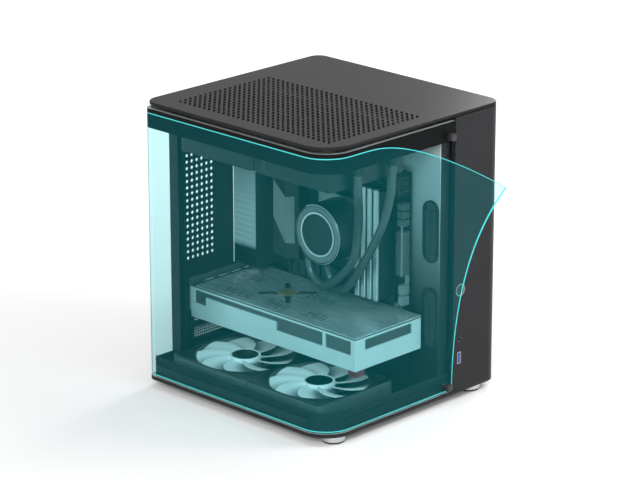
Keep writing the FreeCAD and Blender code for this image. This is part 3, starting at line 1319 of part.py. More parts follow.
def card():
    """The card's pieces: shroud, cooler, board, back plate, brace, corner block, bracket and fans."""
    node(card_shroud())
    node(card_cooler())
    plate = box("card_circuit", "card_left + 1", "card_start + 1", "card_board_low", "card_width - 1",
                "card_end - card_start - 1", "board_thick")
    tongue = box("card_tongue", "card_right - 1", "card_end - slot_length + 3", "card_board_low",
                 "card_edge + 0.6", "slot_length - 21", "board_thick")
    node(join("card_board", [plate, tongue]))
    node(box("card_back_plate", "card_left", "card_start", "card_board_top", "card_width",
             "card_length - 8", "card_plate"))
    middle_x, middle_y = "card_left + card_width / 2", "card_start + card_brace_from_front"
    arms = []
    for angle in (45, 135):
        arm = document.addObject("Part::Box", "brace_arm")
        arm.Placement = FreeCAD.Placement(Vector(), Rotation(Vector(0, 0, 1), angle))
        arm.setExpression("Length", bound("2 * card_brace_arm"))
        arm.setExpression("Width", bound("fan_corner"))
        arm.setExpression("Height", bound("card_brace_thick"))
        c, d = math.cos(math.radians(angle)), math.sin(math.radians(angle))
        place(arm, f"{middle_x} - card_brace_arm * {c:.6f} + fan_corner / 2 * {d:.6f}",
              f"{middle_y} - card_brace_arm * {d:.6f} - fan_corner / 2 * {c:.6f}", "card_ceiling")
        arms.append(arm)
    arms.append(rod("brace_boss", middle_x, middle_y, "card_ceiling", "fan_corner * 1.5",
                    "card_brace_thick * 1.5"))
    node(join("card_brace", arms))
    node(box("card_corner_block", "card_left + corner_block_inset", "card_start + 1",
             "card_floor - corner_block_height", "corner_block_length", "corner_block_width",
             "corner_block_height"))
    top = slot_middle(0) + size["slot_cover_width"] / 2
    bracket = box("bracket_plate", "card_right - slot_length - slot_cover_lap", "card_end",
                  str(top - size["slot_pitch"] - size["slot_cover_width"]),
                  "slot_length + slot_cover_lap + card_edge - 1", "slot_cover_thick",
                  "slot_pitch + slot_cover_width")
    cuts = []
    for number in range(int(size["display_ports"])):
        cuts.append(box("display_port", f"card_right - display_port_inset - {number} * display_port_pitch",
                        "card_end - 1", str(slot_middle(0) - size["display_port_low"]), "display_port_width",
                        "slot_cover_thick + 2", "display_port_height"))
    for number in range(int(size["bracket_vents"])):
        cuts.append(box("bracket_vent", f"card_right - bracket_vent_inset - {number} * bracket_vent_pitch",
                        "card_end - 1", str(slot_middle(1) - size["bracket_vent_height"] / 2),
                        "bracket_vent_width", "slot_cover_thick + 2", "bracket_vent_height"))
    node(cut("card_bracket", bracket, cuts))
    top = floor + size["card_top"] - size["card_thick"] + size["card_wall"] + size["card_fan_depth"]
    for number, (x, y) in enumerate(card_fan_middles(), start=1):
        node(rotor(f"card_rotor_{number}", (x, y, top), HANGING, size["card_fan_hub"], size["card_fan_tip"],
                   size["card_fan_depth"], int(size["card_fan_blades"]), 5, sweep=20.0, cover=0.75))


def slot_covers():
    """Blank covers over the two free expansion slots, each with a row of narrow openings."""
    covers = []
    for k in (2, 3):
        z = slot_middle(k) - size["slot_cover_width"] / 2
        plate = box("slot_cover_plate", "card_right - slot_length - slot_cover_lap + 1", "card_end",
                    str(z), "slot_length + slot_cover_lap + card_edge - 2", "slot_cover_thick",
                    "slot_cover_width")
        low = str(slot_middle(k) - size["slot_vent_height"] / 2)
        slits = [box("slot_vent", f"card_right - slot_vent_inset - {number} * slot_vent_pitch",
                     "card_end - 1", low, "slot_vent_width", "slot_cover_thick + 2", "slot_vent_height")
                 for number in range(int(size["slot_vents"]))]
        covers.append(cut("slot_cover", plate, slits))
    return group("slot_covers", covers)


# Power supply


def power_supply():
    """The supply's housing, open inside, with its fan behind a grille on the right side."""
    x, y, z = "supply_left", "wall_in - supply_depth", "deck"
    middle_y, middle_z = f"{y} + supply_depth / 2", f"{z} + supply_height / 2"
    outer = box("supply_block", x, y, z, "supply_width", "supply_depth", "supply_height")
    room = box("supply_room", f"{x} + supply_wall", f"{y} + supply_wall", f"{z} + supply_wall",
               "supply_width - 2 * supply_wall", "supply_depth - 2 * supply_wall",
               "supply_height - 2 * supply_wall")
    mouth = rod("supply_mouth", f"{x} + supply_width - supply_wall - 1", middle_y, middle_z, "supply_bore",
                "supply_wall + 2", "X")
    inlet = box("supply_inlet_room", f"{x} + supply_width / 2 - inlet_width / 2", "wall_in - supply_wall - 1",
                f"{z} + supply_height / 5 - inlet_height / 2", "inlet_width", "supply_wall + 2",
                "inlet_height")
    rocker = box("supply_switch_room", f"{x} + supply_width / 2 - switch_width / 2 - hole_play",
                 "wall_in - supply_wall - 1", f"{z} + supply_height / 2 - switch_height / 2 - hole_play",
                 "switch_width + 2 * hole_play", "supply_wall + 2", "switch_height + 2 * hole_play")
    housing = cut("supply_housing", outer, [room, mouth, inlet, rocker])
    plane = f"{x} + supply_width - supply_wall"
    arms = [box("grille_arm", plane, f"{middle_y} - supply_bore - 1", f"{middle_z} - fan_arm / 2",
                "supply_wall", "2 * supply_bore + 2", "fan_arm"),
            box("grille_cross", plane, f"{middle_y} - fan_arm / 2", f"{middle_z} - supply_bore - 1",
                "supply_wall", "fan_arm", "2 * supply_bore + 2"),
            rod("grille_hub", f"{plane} - fan_arm / 2", middle_y, middle_z, "fan_hub",
                "fan_arm / 2 + supply_wall", "X")]
    ears = []
    for side in ("- switch_width / 2 - hole_play - supply_wall", "+ switch_width / 2 + hole_play"):
        ears.append(box("switch_ear", f"{x} + supply_width / 2 {side}", "wall_in - switch_depth",
                        f"{z} + supply_height / 2 - switch_height / 3", "supply_wall",
                        "switch_depth - supply_wall / 2", "switch_height * 2 / 3"))
    pins = rod("ear_bore", f"{x} + supply_width / 2 - switch_width", f"wall_in - switch_depth / 2",
               f"{z} + supply_height / 2", "switch_pin + shaft_play", "2 * switch_width", "X")
    bearing = rod("supply_bearing", f"{plane} - fan_arm", middle_y, middle_z, "shaft_radius + shaft_play",
                  "fan_arm + supply_wall + 1", "X")
    node(cut("power_supply", join("supply_solid", [housing] + arms + ears), [pins, bearing]))
    supply_left = left + size["tray_from_left"] + size["sheet_gauge"] + size["hole_play"]
    start = supply_left + size["supply_width"] - size["supply_wall"] - size["fan_arm"] / 2 - size["hole_play"]
    centre = (start, back - size["rear_inset"] - size["sheet_gauge"] - size["supply_depth"] / 2,
              floor + size["sheet_gauge"] + size["supply_height"] / 2)
    node(rotor("supply_rotor", centre, TO_THE_LEFT, size["fan_hub"],
               size["supply_fan_tip"], size["supply_fan_depth"], int(size["supply_fan_blades"]),
               size["fan_arm"] / 2))
    sink = box("inlet_block", f"{x} + supply_width / 2 - inlet_width / 2", "wall_in - inlet_depth",
               f"{z} + supply_height / 5 - inlet_height / 2", "inlet_width", "inlet_depth", "inlet_height")
    well = box("inlet_well", f"{x} + supply_width / 2 - inlet_width / 2 + supply_wall",
               "wall_in - inlet_depth + 3",
               f"{z} + supply_height / 5 - inlet_height / 2 + supply_wall", "inlet_width - 2 * supply_wall",
               "inlet_depth", "inlet_height - 2 * supply_wall")
    blades = []
    for dx, dz in ((-7, -2), (0, 3), (7, -2)):
        blades.append(box("inlet_pin", f"{x} + supply_width / 2 + {dx} - 1", "wall_in - inlet_depth + 2",
                          f"{z} + supply_height / 5 + {dz} - 2", "2", "inlet_depth - 5", "4"))
    node(join("mains_inlet", [cut("inlet_cup", sink, [well])] + blades))
    rocker_y, rocker_z = "wall_in - switch_depth / 2", f"{z} + supply_height / 2"
    cap = box("rocker_cap", f"{x} + supply_width / 2 - switch_width / 2", "wall_in - switch_depth + 2",
              f"{rocker_z} - switch_height / 2 + 1", "switch_width", "switch_depth - 1", "switch_height - 2")
    pin = rod("rocker_pin", f"{x} + supply_width / 2 - switch_width / 2 - hole_play - supply_wall", rocker_y,
              rocker_z, "switch_pin", "switch_width + 2 * hole_play + 2 * supply_wall", "X")
    node(join("supply_switch", [cap, pin]))


node(top_cover())
node(cover_studs())
node(top_frame())
node(base_pan())
for item in feet():
    node(item)
node(dust_filter())
node(filter_rails())
node(rear_wall())
node(right_shell())
node(tray())
node(grommets())
node(front_post())
node(rear_post())
node(glass_panel())
node(glass_seals())
node(film())
node(glass_screws())
node(button_ring())
node(power_button())
node(usb_socket())
node(audio_jack())
node(control_board())
fans()
node(radiator())
for hose_name in HOSES:
    node(hose(hose_name))
node(hose_fittings())
pump_parts()
node(motherboard())
board_pieces()
card()
node(slot_covers())
power_supply()

document.recompute()
broken = [item.Label for item in document.Objects if "Invalid" in item.State or "Error" in item.State]
if broken:
    raise RuntimeError("could not be made: " + ", ".join(broken))
os.makedirs("parts", exist_ok=True)
for item in NODES:
    shape = item.Shape
    if shape.isNull() or not shape.isValid() or shape.Volume <= 0:
        raise RuntimeError(f"{item.Label} is not a sound solid")
for item in NODES:
    item.Shape.exportStep(f"parts/{item.Label}.step")
print(len(NODES), "pieces")
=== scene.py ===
# %% [markdown]
# # A small computer case with a bent glass corner
#
# The case is a steel box with one sheet of glass bent round its left and front faces. Inside
# are a main board, a liquid cooler, a graphics card and fans. The CAD model is the frame: it
# holds every piece at its true size. This script gives each solid a finish, and replaces the
# soft or finely pierced pieces with surfaces worked out with numpy.
#
# All sizes below are millimetres from one corner of the body: the left end of its front face,
# at its underside. X runs across, Y to the back, Z up.

# %% The frame, and the way from millimetres to its metres
import math

import bmesh
import bpy
import numpy as np
from mathutils import Matrix, Vector


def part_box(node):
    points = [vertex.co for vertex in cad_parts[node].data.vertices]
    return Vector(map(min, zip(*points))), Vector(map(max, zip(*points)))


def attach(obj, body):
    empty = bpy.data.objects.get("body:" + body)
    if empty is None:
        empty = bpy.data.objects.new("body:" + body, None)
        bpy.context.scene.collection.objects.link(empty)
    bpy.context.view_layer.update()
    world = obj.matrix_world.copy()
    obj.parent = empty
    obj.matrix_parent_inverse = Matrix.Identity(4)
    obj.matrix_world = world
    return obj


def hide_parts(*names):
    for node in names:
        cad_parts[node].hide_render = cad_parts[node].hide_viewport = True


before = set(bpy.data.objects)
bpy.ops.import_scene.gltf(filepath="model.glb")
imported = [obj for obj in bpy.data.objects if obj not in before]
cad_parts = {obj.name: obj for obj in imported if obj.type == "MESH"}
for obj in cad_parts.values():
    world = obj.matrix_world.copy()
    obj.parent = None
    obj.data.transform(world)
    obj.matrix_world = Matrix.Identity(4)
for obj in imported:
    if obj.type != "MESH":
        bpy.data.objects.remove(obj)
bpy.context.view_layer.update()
BODY_CORNER = np.array([-143.0, -107.5, 10.0])
WIDTH, DEPTH, HEIGHT = 286.0, 292.0, 336.0


def at(points):
    """Frame metres for points in body millimetres: each point plus the corner, over a thousand."""
    return (np.asarray(points, float) + BODY_CORNER) / 1000


def placed(name, data):
    """A new object with its data, in the scene."""
    made = bpy.data.objects.new(name, data)
    bpy.context.scene.collection.objects.link(made)
    return made


# %% [markdown]
# ## The camera
#
# The photograph was taken from far away with a long lens, so the case's edges hardly converge.
# The camera's place was found by matching the case's straight edges to the picture. It stands
# in front and to the left, 18 degrees above the horizon, and looks at the bent corner.

# %% The camera
def look_along(direction, location):
    """The matrix of a camera at a place: its -Z axis is the direction, and its X axis is level."""
    ahead = np.array(direction) / np.linalg.norm(direction)
    across = np.cross(ahead, [0, 0, 1])
    across /= np.linalg.norm(across)
    upward = np.cross(across, ahead)
    turned = np.eye(4)
    turned[:3, :4] = np.stack([across, upward, -ahead, location], axis=1)
    return Matrix(turned.tolist())


SENSOR_MM, LENS_MM, FARTHEST = 36, 169.03, 50
CAMERA_PLACE, VIEW_DIRECTION = (-2.348600, -2.248956, 1.270336), (0.679134, 0.662571, -0.315875)
lens = bpy.data.cameras.new("camera_lens")
lens.sensor_width = SENSOR_MM
lens.lens = LENS_MM
lens.clip_end = FARTHEST
camera = placed("camera", lens)
camera.matrix_world = look_along(VIEW_DIRECTION, CAMERA_PLACE)
bpy.context.scene.camera = camera
print("camera at", [round(value, 3) for value in camera.location])

# %% [markdown]
# ## The two hoses
#
# Two rubber hoses carry the coolant from the pump up to the radiator. Each is stiff, so it
# leaves its fitting straight and then falls into one wide curve. A NURBS curve draws that from
# the route's points, and its bevel gives it the round section.

# %% The hoses' lines
HOSE_DIAMETER = 10.0
HOSES = {
    "cooler_hose_return": {
        "route": [(135, 160, 146.8), (135, 160, 135), (134, 147, 121), (132, 127, 119.5), (120, 74, 161),
                  (112, 60, 205), (90, 38, 243), (69, 20, 268), (69, 20, 290.8)],
        "length": 0.270, "node": "hose_return"},
    "cooler_hose_supply": {
        "route": [(147, 140, 137.7), (147, 140, 127), (145, 128, 116), (140, 108, 117), (133, 86, 139),
                  (128, 67, 162), (125, 49, 188), (124, 33, 216), (124, 23, 248), (124, 20, 270),
                  (124, 20, 290.8)],
        "length": 0.248, "node": "hose_supply"},
}


def hose(name, route, length, node):
    """A hose along a NURBS line of order 3 whose control points are the route's points. Its bevel is
    1 metre and its points carry the hose's radius, so that the curve's box is the hose's own."""
    curve = bpy.data.curves.new(name, "CURVE")
    curve.dimensions = "3D"
    spline = curve.splines.new("NURBS")
    spline.points.add(len(route) - 1)
    spline.points.foreach_set("co", np.c_[at(route), np.ones(len(route))].ravel())
    spline.points.foreach_set("radius", np.full(len(route), HOSE_DIAMETER / 2000))
    spline.order_u = 3
    spline.use_endpoint_u = True
    spline.resolution_u = 16
    curve.bevel_depth = 1.0
    curve.bevel_resolution = 6
    curve.use_fill_caps = True
    made = placed(name, curve)
    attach(made, "body")
    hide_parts(node)
    return made


hoses = [hose(name, **facts) for name, facts in HOSES.items()]
print("hoses:", [made.name for made in hoses])

# %% [markdown]
# ## Light and floor
#
# The picture is a plain studio shot: white all round, with a soft shadow under the case. An
# even white world gives most of the light. Two large lamps give the shading that tells the
# faces apart, and two small ones light the strip beside the glass and the cover's far corner.
# The floor is pale. Only for the camera, for gloss and for clear surfaces it is lifted towards
# full white as it goes away from the case, so that it keeps the shadow and adds no light.

# %% Helpers for colours and nodes
def linear(hex_colour):
    """A display colour such as '#808080' as linear light: each channel undoes the display's curve."""
    values = np.array([int(hex_colour[i:i + 2], 16) for i in (1, 3, 5)]) / 255
    light = np.where(values <= 0.04045, values / 12.92, ((values + 0.055) / 1.055) ** 2.4)
    return (*light.tolist(), 1.0)


def add(tree, kind, inputs=None, **settings):
    """Adds a shader node, sets its settings, and fills its inputs: a socket is linked, a value is set."""
    node = tree.nodes.new("ShaderNode" + kind)
    for key, value in settings.items():
        setattr(node, key, value)
    for key, value in (inputs or {}).items():
        if isinstance(value, bpy.types.NodeSocket):
            tree.links.new(value, node.inputs[key])
        else:
            node.inputs[key].default_value = value
    return node


def blank(owner):
    """The empty node tree of a material or a world."""
    owner.use_nodes = True
    owner.node_tree.nodes.clear()
    return owner.node_tree


def mixed(tree, share, colours):
    """The colour that a share blends from the first of two display colours to the second."""
    blend = add(tree, "Mix", {"Factor": share, "A": linear(colours[0]), "B": linear(colours[1])},
                data_type="RGBA")
    return blend.outputs["Result"]


def seen(tree):
    """One for rays from the camera, by gloss or through clear surfaces, and zero for the others."""
    paths = add(tree, "LightPath")
    shows = add(tree, "Math", {0: paths.outputs["Is Camera Ray"], 1: paths.outputs["Is Transmission Ray"]},
                operation="MAXIMUM")
    return add(tree, "Math", {0: shows.outputs[0], 1: paths.outputs["Is Glossy Ray"]},
               operation="MAXIMUM").outputs[0]


# %% The world, the floor and the lamps
bpy.context.scene.view_settings.view_transform = "Standard"
WHITE = linear("#ffffff")
EVEN_LIGHT = 0.55
LIFT_FROM, LIFT_TO, LIFT_LEAST, LIFT_MOST = 0.3, 1.3, 0.07, 0.6
world = bpy.data.worlds.new("studio")
bpy.context.scene.world = world
tree = blank(world)
even = add(tree, "Background", {"Color": WHITE, "Strength": EVEN_LIGHT})
white = add(tree, "Background", {"Color": WHITE, "Strength": 1.0})
either = add(tree, "MixShader", {0: seen(tree), 1: even.outputs[0], 2: white.outputs[0]})
add(tree, "OutputWorld", {"Surface": either.outputs[0]})

floor_material = bpy.data.materials.new("studio_floor")
tree = blank(floor_material)
where = add(tree, "TexCoord")
away = add(tree, "VectorMath", {0: where.outputs["Object"]}, operation="LENGTH")
rise = add(tree, "MapRange", {"Value": away.outputs["Value"], "From Min": LIFT_FROM, "From Max": LIFT_TO,
                              "To Min": LIFT_LEAST, "To Max": LIFT_MOST}, interpolation_type="SMOOTHSTEP")
lift = add(tree, "Emission", {"Color": WHITE, "Strength": rise.outputs[0]})
none = add(tree, "Emission", {"Strength": 0.0})
extra = add(tree, "MixShader", {0: seen(tree), 1: none.outputs[0], 2: lift.outputs[0]})
paint = add(tree, "BsdfDiffuse", {"Color": linear("#e4e4e4")})
both = add(tree, "AddShader", {0: paint.outputs[0], 1: extra.outputs[0]})
add(tree, "OutputMaterial", {"Surface": both.outputs[0]})

floor_mesh = bpy.data.meshes.new("studio_floor")
FAR = 9
floor_mesh.from_pydata([(-FAR, -FAR, 0), (FAR, -FAR, 0), (FAR, FAR, 0), (-FAR, FAR, 0)], [], [(0, 1, 2, 3)])
floor_mesh.materials.append(floor_material)
floor = placed("studio_floor", floor_mesh)

# Each lamp: its place in metres, its size in metres, its power in watts. All aim at one point.
AIM = Vector((0.0001, 0, 0.15))
LAMPS = (("lamp_left", (-1.9, -1.3, 1.3), 1.2, 50), ("lamp_front", (0.42, -0.62, 0.78), 0.4, 4),
         ("lamp_above", (0.2, -0.3, 2.3), 1.8, 7), ("lamp_behind", (0.84, 0.24, 0.66), 0.5, 5.0))
for name, place, size, power in LAMPS:
    light = bpy.data.lights.new(name, "AREA")
    light.shape = "DISK"
    light.size = size
    light.energy = power
    placed(name, light).matrix_world = look_along(AIM - Vector(place), place)
print("lamps:", [name for name, *_ in LAMPS])

# %% [markdown]
# ## Surfaces from numbers
#
# Every new piece below is a grid of points, worked out all at once. The helpers join
# neighbouring points with quads, and put such parts into one mesh that rides on a body.

# %% Grids, and meshes made from them
def grid_faces(rows, columns, closed=False):
    """Quads between neighbouring points of a grid; a closed grid joins its last column to its first."""
    row = np.arange(rows - 1)[:, None]
    column = np.arange(columns if closed else columns - 1)[None, :]
    after = (column + 1) % columns
    quads = [row * columns + column, row * columns + after, (row + 1) * columns + after,
             (row + 1) * columns + column]
    return np.stack(np.broadcast_arrays(*quads), axis=-1).reshape(-1, 4)


def joined(parts):
    """Several (points, faces) parts as one: each part's faces are renumbered past the points before."""
    starts = np.cumsum([0] + [len(points) for points, faces in parts[:-1]])
    faces = [[int(start + i) for i in face] for start, (_, part) in zip(starts, parts) for face in part]
    return np.concatenate([points for points, faces in parts]), faces


def copies(points, faces, places):
    """The same small part at many places: its points are shifted by each place."""
    return joined([(points + place, faces) for place in places])


def piece(name, points, faces, material, body="body", stands_for=(), outwards=True, merge=0.0, sharp=35):
    """A mesh of points in body millimetres, riding on a body of the frame, with its faces turned out.
    It is shaded smooth except at edges sharper than an angle: 0 shades it flat, None smooths it all."""
    mesh = bpy.data.meshes.new(name)
    mesh.from_pydata(at(points).tolist(), [], faces if isinstance(faces, list) else faces.tolist())
    if outwards:
        work = bmesh.new()
        work.from_mesh(mesh)
        if merge:
            bmesh.ops.remove_doubles(work, verts=work.verts, dist=merge / 1000)
        bmesh.ops.recalc_face_normals(work, faces=work.faces)
        work.to_mesh(mesh)
        work.free()
    mesh.polygons.foreach_set("use_smooth", np.full(len(mesh.polygons), sharp != 0))
    mesh.materials.append(material)
    made = placed(name, mesh)
    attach(made, body)
    if stands_for:
        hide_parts(*stands_for)
    if sharp:
        mesh.set_sharp_from_angle(angle=math.radians(sharp))
    print(f"{name}: {len(mesh.vertices)} points, {len(mesh.polygons)} faces")
    return made


# %% [markdown]
# ## Finishes
#
# Each finish starts from what the real thing is made of and how its surface was made. The
# patterns read Object coordinates, which here are the frame's metres, so a pattern's scale is
# one over its real size in metres.

# %% Painted and moulded finishes
PATCH = 0.04


def finish(name, colour, roughness, metallic=0.0, specular=0.5, glow=0.0):
    """A material with one Principled shader, whose plain values are set on its sockets."""
    material = bpy.data.materials.new(name)
    tree = blank(material)
    light = {"Emission Color": linear(colour), "Emission Strength": glow} if glow else {}
    shader = add(tree, "BsdfPrincipled", {"Base Color": linear(colour), "Roughness": roughness,
                                          "Metallic": metallic, "Specular IOR Level": specular, **light})
    add(tree, "OutputMaterial", {"Surface": shader.outputs[0]})
    return material, tree, shader


def coat(name, colours, gloss, size, depth, stretch=(1, 1, 1), **settings):
    """A finish with a grain of a real size in mm and depth in micrometres. It has one colour, or drifts
    between two over a patch, and its grain swings between two roughnesses."""
    colours = colours.split()
    material, tree, shader = finish(name, colours[0], gloss[0], **settings)
    where = add(tree, "TexCoord")
    drawn = add(tree, "Mapping", {"Vector": where.outputs["Object"], "Scale": stretch})
    fine = add(tree, "TexNoise", {"Vector": drawn.outputs[0], "Scale": 1000 / size, "Detail": 3.0})
    bump = add(tree, "Bump", {"Height": fine.outputs[0], "Distance": depth / 1e6, "Strength": 1.0})
    tree.links.new(bump.outputs[0], shader.inputs["Normal"])
    if len(colours) > 1:
        slow = add(tree, "TexNoise", {"Vector": where.outputs["Object"], "Scale": 1 / PATCH, "Detail": 2.0})
        tree.links.new(mixed(tree, slow.outputs[0], colours), shader.inputs["Base Color"])
    spread = add(tree, "MapRange", {"Value": fine.outputs[0], "From Min": 0.3, "From Max": 0.7,
                                    "To Min": gloss[0], "To Max": gloss[1]})
    tree.links.new(spread.outputs[0], shader.inputs["Roughness"])
    return material


def over_height(material, low, high, colours, sockets=("Base Color",)):
    """Blends from one colour to another over a range of heights in the frame, in metres."""
    tree = material.node_tree
    where = add(tree, "TexCoord")
    height = add(tree, "SeparateXYZ", {0: where.outputs["Object"]})
    share = add(tree, "MapRange", {"Value": height.outputs["Z"], "From Min": low, "From Max": high},
                interpolation_type="SMOOTHSTEP")
    colour = mixed(tree, share.outputs[0], colours)
    for socket in sockets:
        tree.links.new(colour, tree.nodes["Principled BSDF"].inputs[socket])


# Polyester powder coat, sprayed dry and baked: a satin black with an orange peel of about 1 mm.
powder_black = coat("powder_coated_steel_black", "#212123 #28282a", (0.38, 0.48), 1.1, 8, specular=0.12)
# The cover's coat has less gloss, so that only the lamp behind it shows, as a slow glow to the right.
powder_cover = coat("powder_coated_steel_cover", "#202022 #262628", (0.31, 0.38), 1.1, 4, specular=0.05)
# The same coat on the pieces inside the case, duller because nobody polishes them. Its colour is also darker
# than outside: painted shade, for the shade inside the case.
powder_inside_shaded = coat("powder_coated_steel_inside", "#161718 #1f2021", (0.5, 0.6), 1.1, 5, specular=0.3)
# A lighter coat on the frame's rails and on the board's tray, which the photograph shows in a mid grey.
powder_grey = coat("powder_coated_steel_grey", "#333436 #3e3f42", (0.46, 0.56), 1.1, 5)
powder_pale_painted_shade = coat("powder_coated_steel_pale", "#9a9da0", (0.46, 0.56), 1.1, 5)
# Painted shade on the tray: its colour runs from nearly black below to pale above, standing in for the shade
# that deepens lower in the case.
over_height(powder_pale_painted_shade, 0.095, 0.29, ("#1c1d1e", "#b8bbbe"))
# Fibre-filled nylon, moulded against a spark-eroded tool: an even matt grain of about half a millimetre.
moulded_black = coat("moulded_nylon_black", "#18191b #232426", (0.45, 0.58), 0.6, 6)
# The same nylon, polished: the caps on the fans' hubs.
moulded_gloss = coat("polished_nylon_black", "#0e0f10 #141516", (0.13, 0.2), 2, 4)
# Soft rubber with a dull skin.
rubber_dark = coat("moulded_rubber_dark", "#1b1c1d #262728", (0.55, 0.7), 0.8, 20)
# Rubber hose, extruded and cured, with a smooth skin that takes a long highlight.
rubber_hose = coat("extruded_rubber_hose", "#3c3f41 #464a4c", (0.26, 0.34), 1.2, 8, specular=0.9)
# Frosted polycarbonate fan blades, moulded clear with a fine matt grain. Their glow is painted light: a weak
# emission that stands in for light passing through them.
frosted = coat("frosted_polycarbonate", "#e6ecee", (0.4, 0.52), 0.7, 8, glow=0.16)
# Each blade's low edge lies in the shade of the next one, so less light glows through it.
over_height(frosted, 0.0345, 0.0405, ("#67777b", "#e9eff1"), ("Base Color", "Emission Color"))
# Light grey thermoplastic of the board's smaller connectors, moulded smooth.
plastic_light = coat("moulded_plastic_light", "#838688 #949799", (0.4, 0.5), 0.8, 8)
# Blue moulded plastic: the tongue in the data port at the front.
plastic_blue = coat("moulded_plastic_blue", "#264890 #2e56a4", (0.36, 0.46), 0.8, 4)
# Silver paint on the graphics card's shroud: metal flake under a satin lacquer.
silver_paint = coat("silver_painted_plastic", "#d5d8da #e4e7e9", (0.32, 0.42), 0.7, 4, metallic=0.15)
# Dark red moulded plastic with a gloss.
plastic_red = coat("moulded_plastic_red", "#650d16 #7a131d", (0.22, 0.3), 2, 10)
# Solder mask over fibreglass, near black, with the copper traces standing under it.
solder_mask = coat("solder_mask_black", "#131516 #1f2223", (0.36, 0.5), 1.5, 20)
# Grey moulded nylon, for the fans' frames and the board's larger sockets.
fan_grey = coat("moulded_nylon_fan_grey", "#313335", (0.32, 0.42), 0.8, 5)
# A frame's walls catch light that its top face doesn't, so the colour darkens over its last millimetres.
over_height(fan_grey, 0.0405, 0.043, ("#54585a", "#17181a"))
moulded_grey = coat("moulded_nylon_grey", "#545759 #636668", (0.4, 0.52), 0.8, 6)
rubber_grey = coat("moulded_rubber_grey", "#37393b #434547", (0.55, 0.68), 0.8, 10)
print("painted and moulded finishes are made")

# %% Metal finishes
# Brushed aluminium: extruded, brushed along one way and anodised, with streaks 0.5 mm apart.
brushed = coat("brushed_aluminium", "#bfc1c3 #d2d4d6", (0.28, 0.42), 0.5, 6, stretch=(1, 1, 0.03),
               metallic=0.75)
# Dark anodised aluminium coolers, blasted before the dye.
anodised_dark = coat("anodised_aluminium_dark", "#484b4e #5d6063", (0.36, 0.48), 0.6, 10, metallic=0.7)
# The card's back plate: brushed along the card, dyed grey, and glossy enough to mirror what is over it.
brushed_dark = coat("brushed_aluminium_dark", "#afb2b5 #c1c4c7", (0.2, 0.32), 0.6, 3, stretch=(1, 0.03, 1),
                    metallic=0.4)
# Black anodised sheet with a soft sheen, on the memory's heat spreaders.
anodised_black = coat("anodised_aluminium_black", "#16181a #212325", (0.34, 0.46), 0.6, 6, metallic=0.2)
# Grey anodised band on the pump's face.
anodised_grey = coat("anodised_aluminium_grey", "#74787a #86898b", (0.36, 0.46), 0.6, 4, metallic=0.3)
# Satin aluminium on the port cover: blasted, so it stays pale from every side.
satin_aluminium = coat("blasted_aluminium", "#cfd1d3", (0.45, 0.56), 0.7, 6, metallic=0.2)
# Its colour turns black towards its lower end, fading over 6 mm.
over_height(satin_aluminium, 0.142, 0.149, ("#0c0d0e", "#cfd1d3"))
# Lacquered copper brown: the back of the chip's carrier.
copper_brown = coat("lacquered_copper_brown", "#9c7f50 #b59664", (0.3, 0.42), 1, 6, metallic=0.3)
# Woven steel wire behind the card's windows. Its real pitch is 1 mm; 2.4 mm shows at this distance.
WIRE_PITCH = 0.0024
wire_mesh, tree, shader = finish("woven_steel_mesh", "#4b4e50", 0.5, 0.3)
where = add(tree, "TexCoord")
waves = [add(tree, "TexWave", {"Vector": where.outputs["Object"], "Scale": math.pi / 10 / WIRE_PITCH},
             bands_direction=way) for way in ("Y", "Z")]
wires = add(tree, "Math", {0: waves[0].outputs["Fac"], 1: waves[1].outputs["Fac"]}, operation="MAXIMUM")
tree.links.new(mixed(tree, wires.outputs[0], ("#0d0e0f", "#6b6f71")), shader.inputs["Base Color"])
# Zinc-plated sheet and screws: bright, a little cloudy.
plated = coat("zinc_plated_steel", "#a9abad #c0c2c4", (0.26, 0.4), 1.2, 8, metallic=0.9)
# Polished chrome plate.
chrome = coat("chrome_plate", "#cdcfd2 #dcdee1", (0.1, 0.15), 4, 4, metallic=1.0)
# Black-oxide thumb screws.
black_oxide = coat("black_oxide_steel", "#343436 #444446", (0.3, 0.44), 0.8, 10, metallic=0.6)
# Turned aluminium feet: the tool leaves fine rings.
turned = coat("turned_aluminium", "#bbbdbf #cdcfd1", (0.25, 0.36), 0.6, 8, stretch=(0.05, 0.05, 1),
              metallic=0.85)
# Radiator fins painted black: thin folded sheet, which reads as fine lines.
radiator_paint = coat("black_painted_radiator", "#1e1f21 #2f3032", (0.42, 0.6), 0.9, 40, stretch=(1, 0.1, 1),
                      metallic=0.3)
print("metal finishes are made")

# %% [markdown]
# ## Glass and film
#
# The glass is clear toughened glass, faintly green. The protective film over it is what gives
# the picture its blue: a thin dyed sheet that takes most of the red out and adds a haze of its
# own. Both are thin, so they are a tinted see-through shader under a weak gloss, and the light
# still comes in through them. The film's cut edge gathers light and shines.

# %% See-through finishes
def see_through(name, tint, ior, gloss_roughness, haze=None, haze_share=0.0):
    """Tinted clear stock: what is behind it times the tint, a share of haze, and gloss by Fresnel."""
    material = bpy.data.materials.new(name)
    tree = blank(material)
    result = add(tree, "BsdfTransparent", {"Color": (*tint, 1)})
    if haze:
        milk = add(tree, "BsdfDiffuse", {"Color": linear(haze)})
        result = add(tree, "MixShader", {0: haze_share, 1: result.outputs[0], 2: milk.outputs[0]})
    fresnel = add(tree, "Fresnel", {"IOR": ior})
    gloss = add(tree, "BsdfGlossy", {"Color": (1, 1, 1, 1), "Roughness": gloss_roughness})
    shine = add(tree, "MixShader", {0: fresnel.outputs[0], 1: result.outputs[0], 2: gloss.outputs[0]})
    add(tree, "OutputMaterial", {"Surface": shine.outputs[0]})
    return material


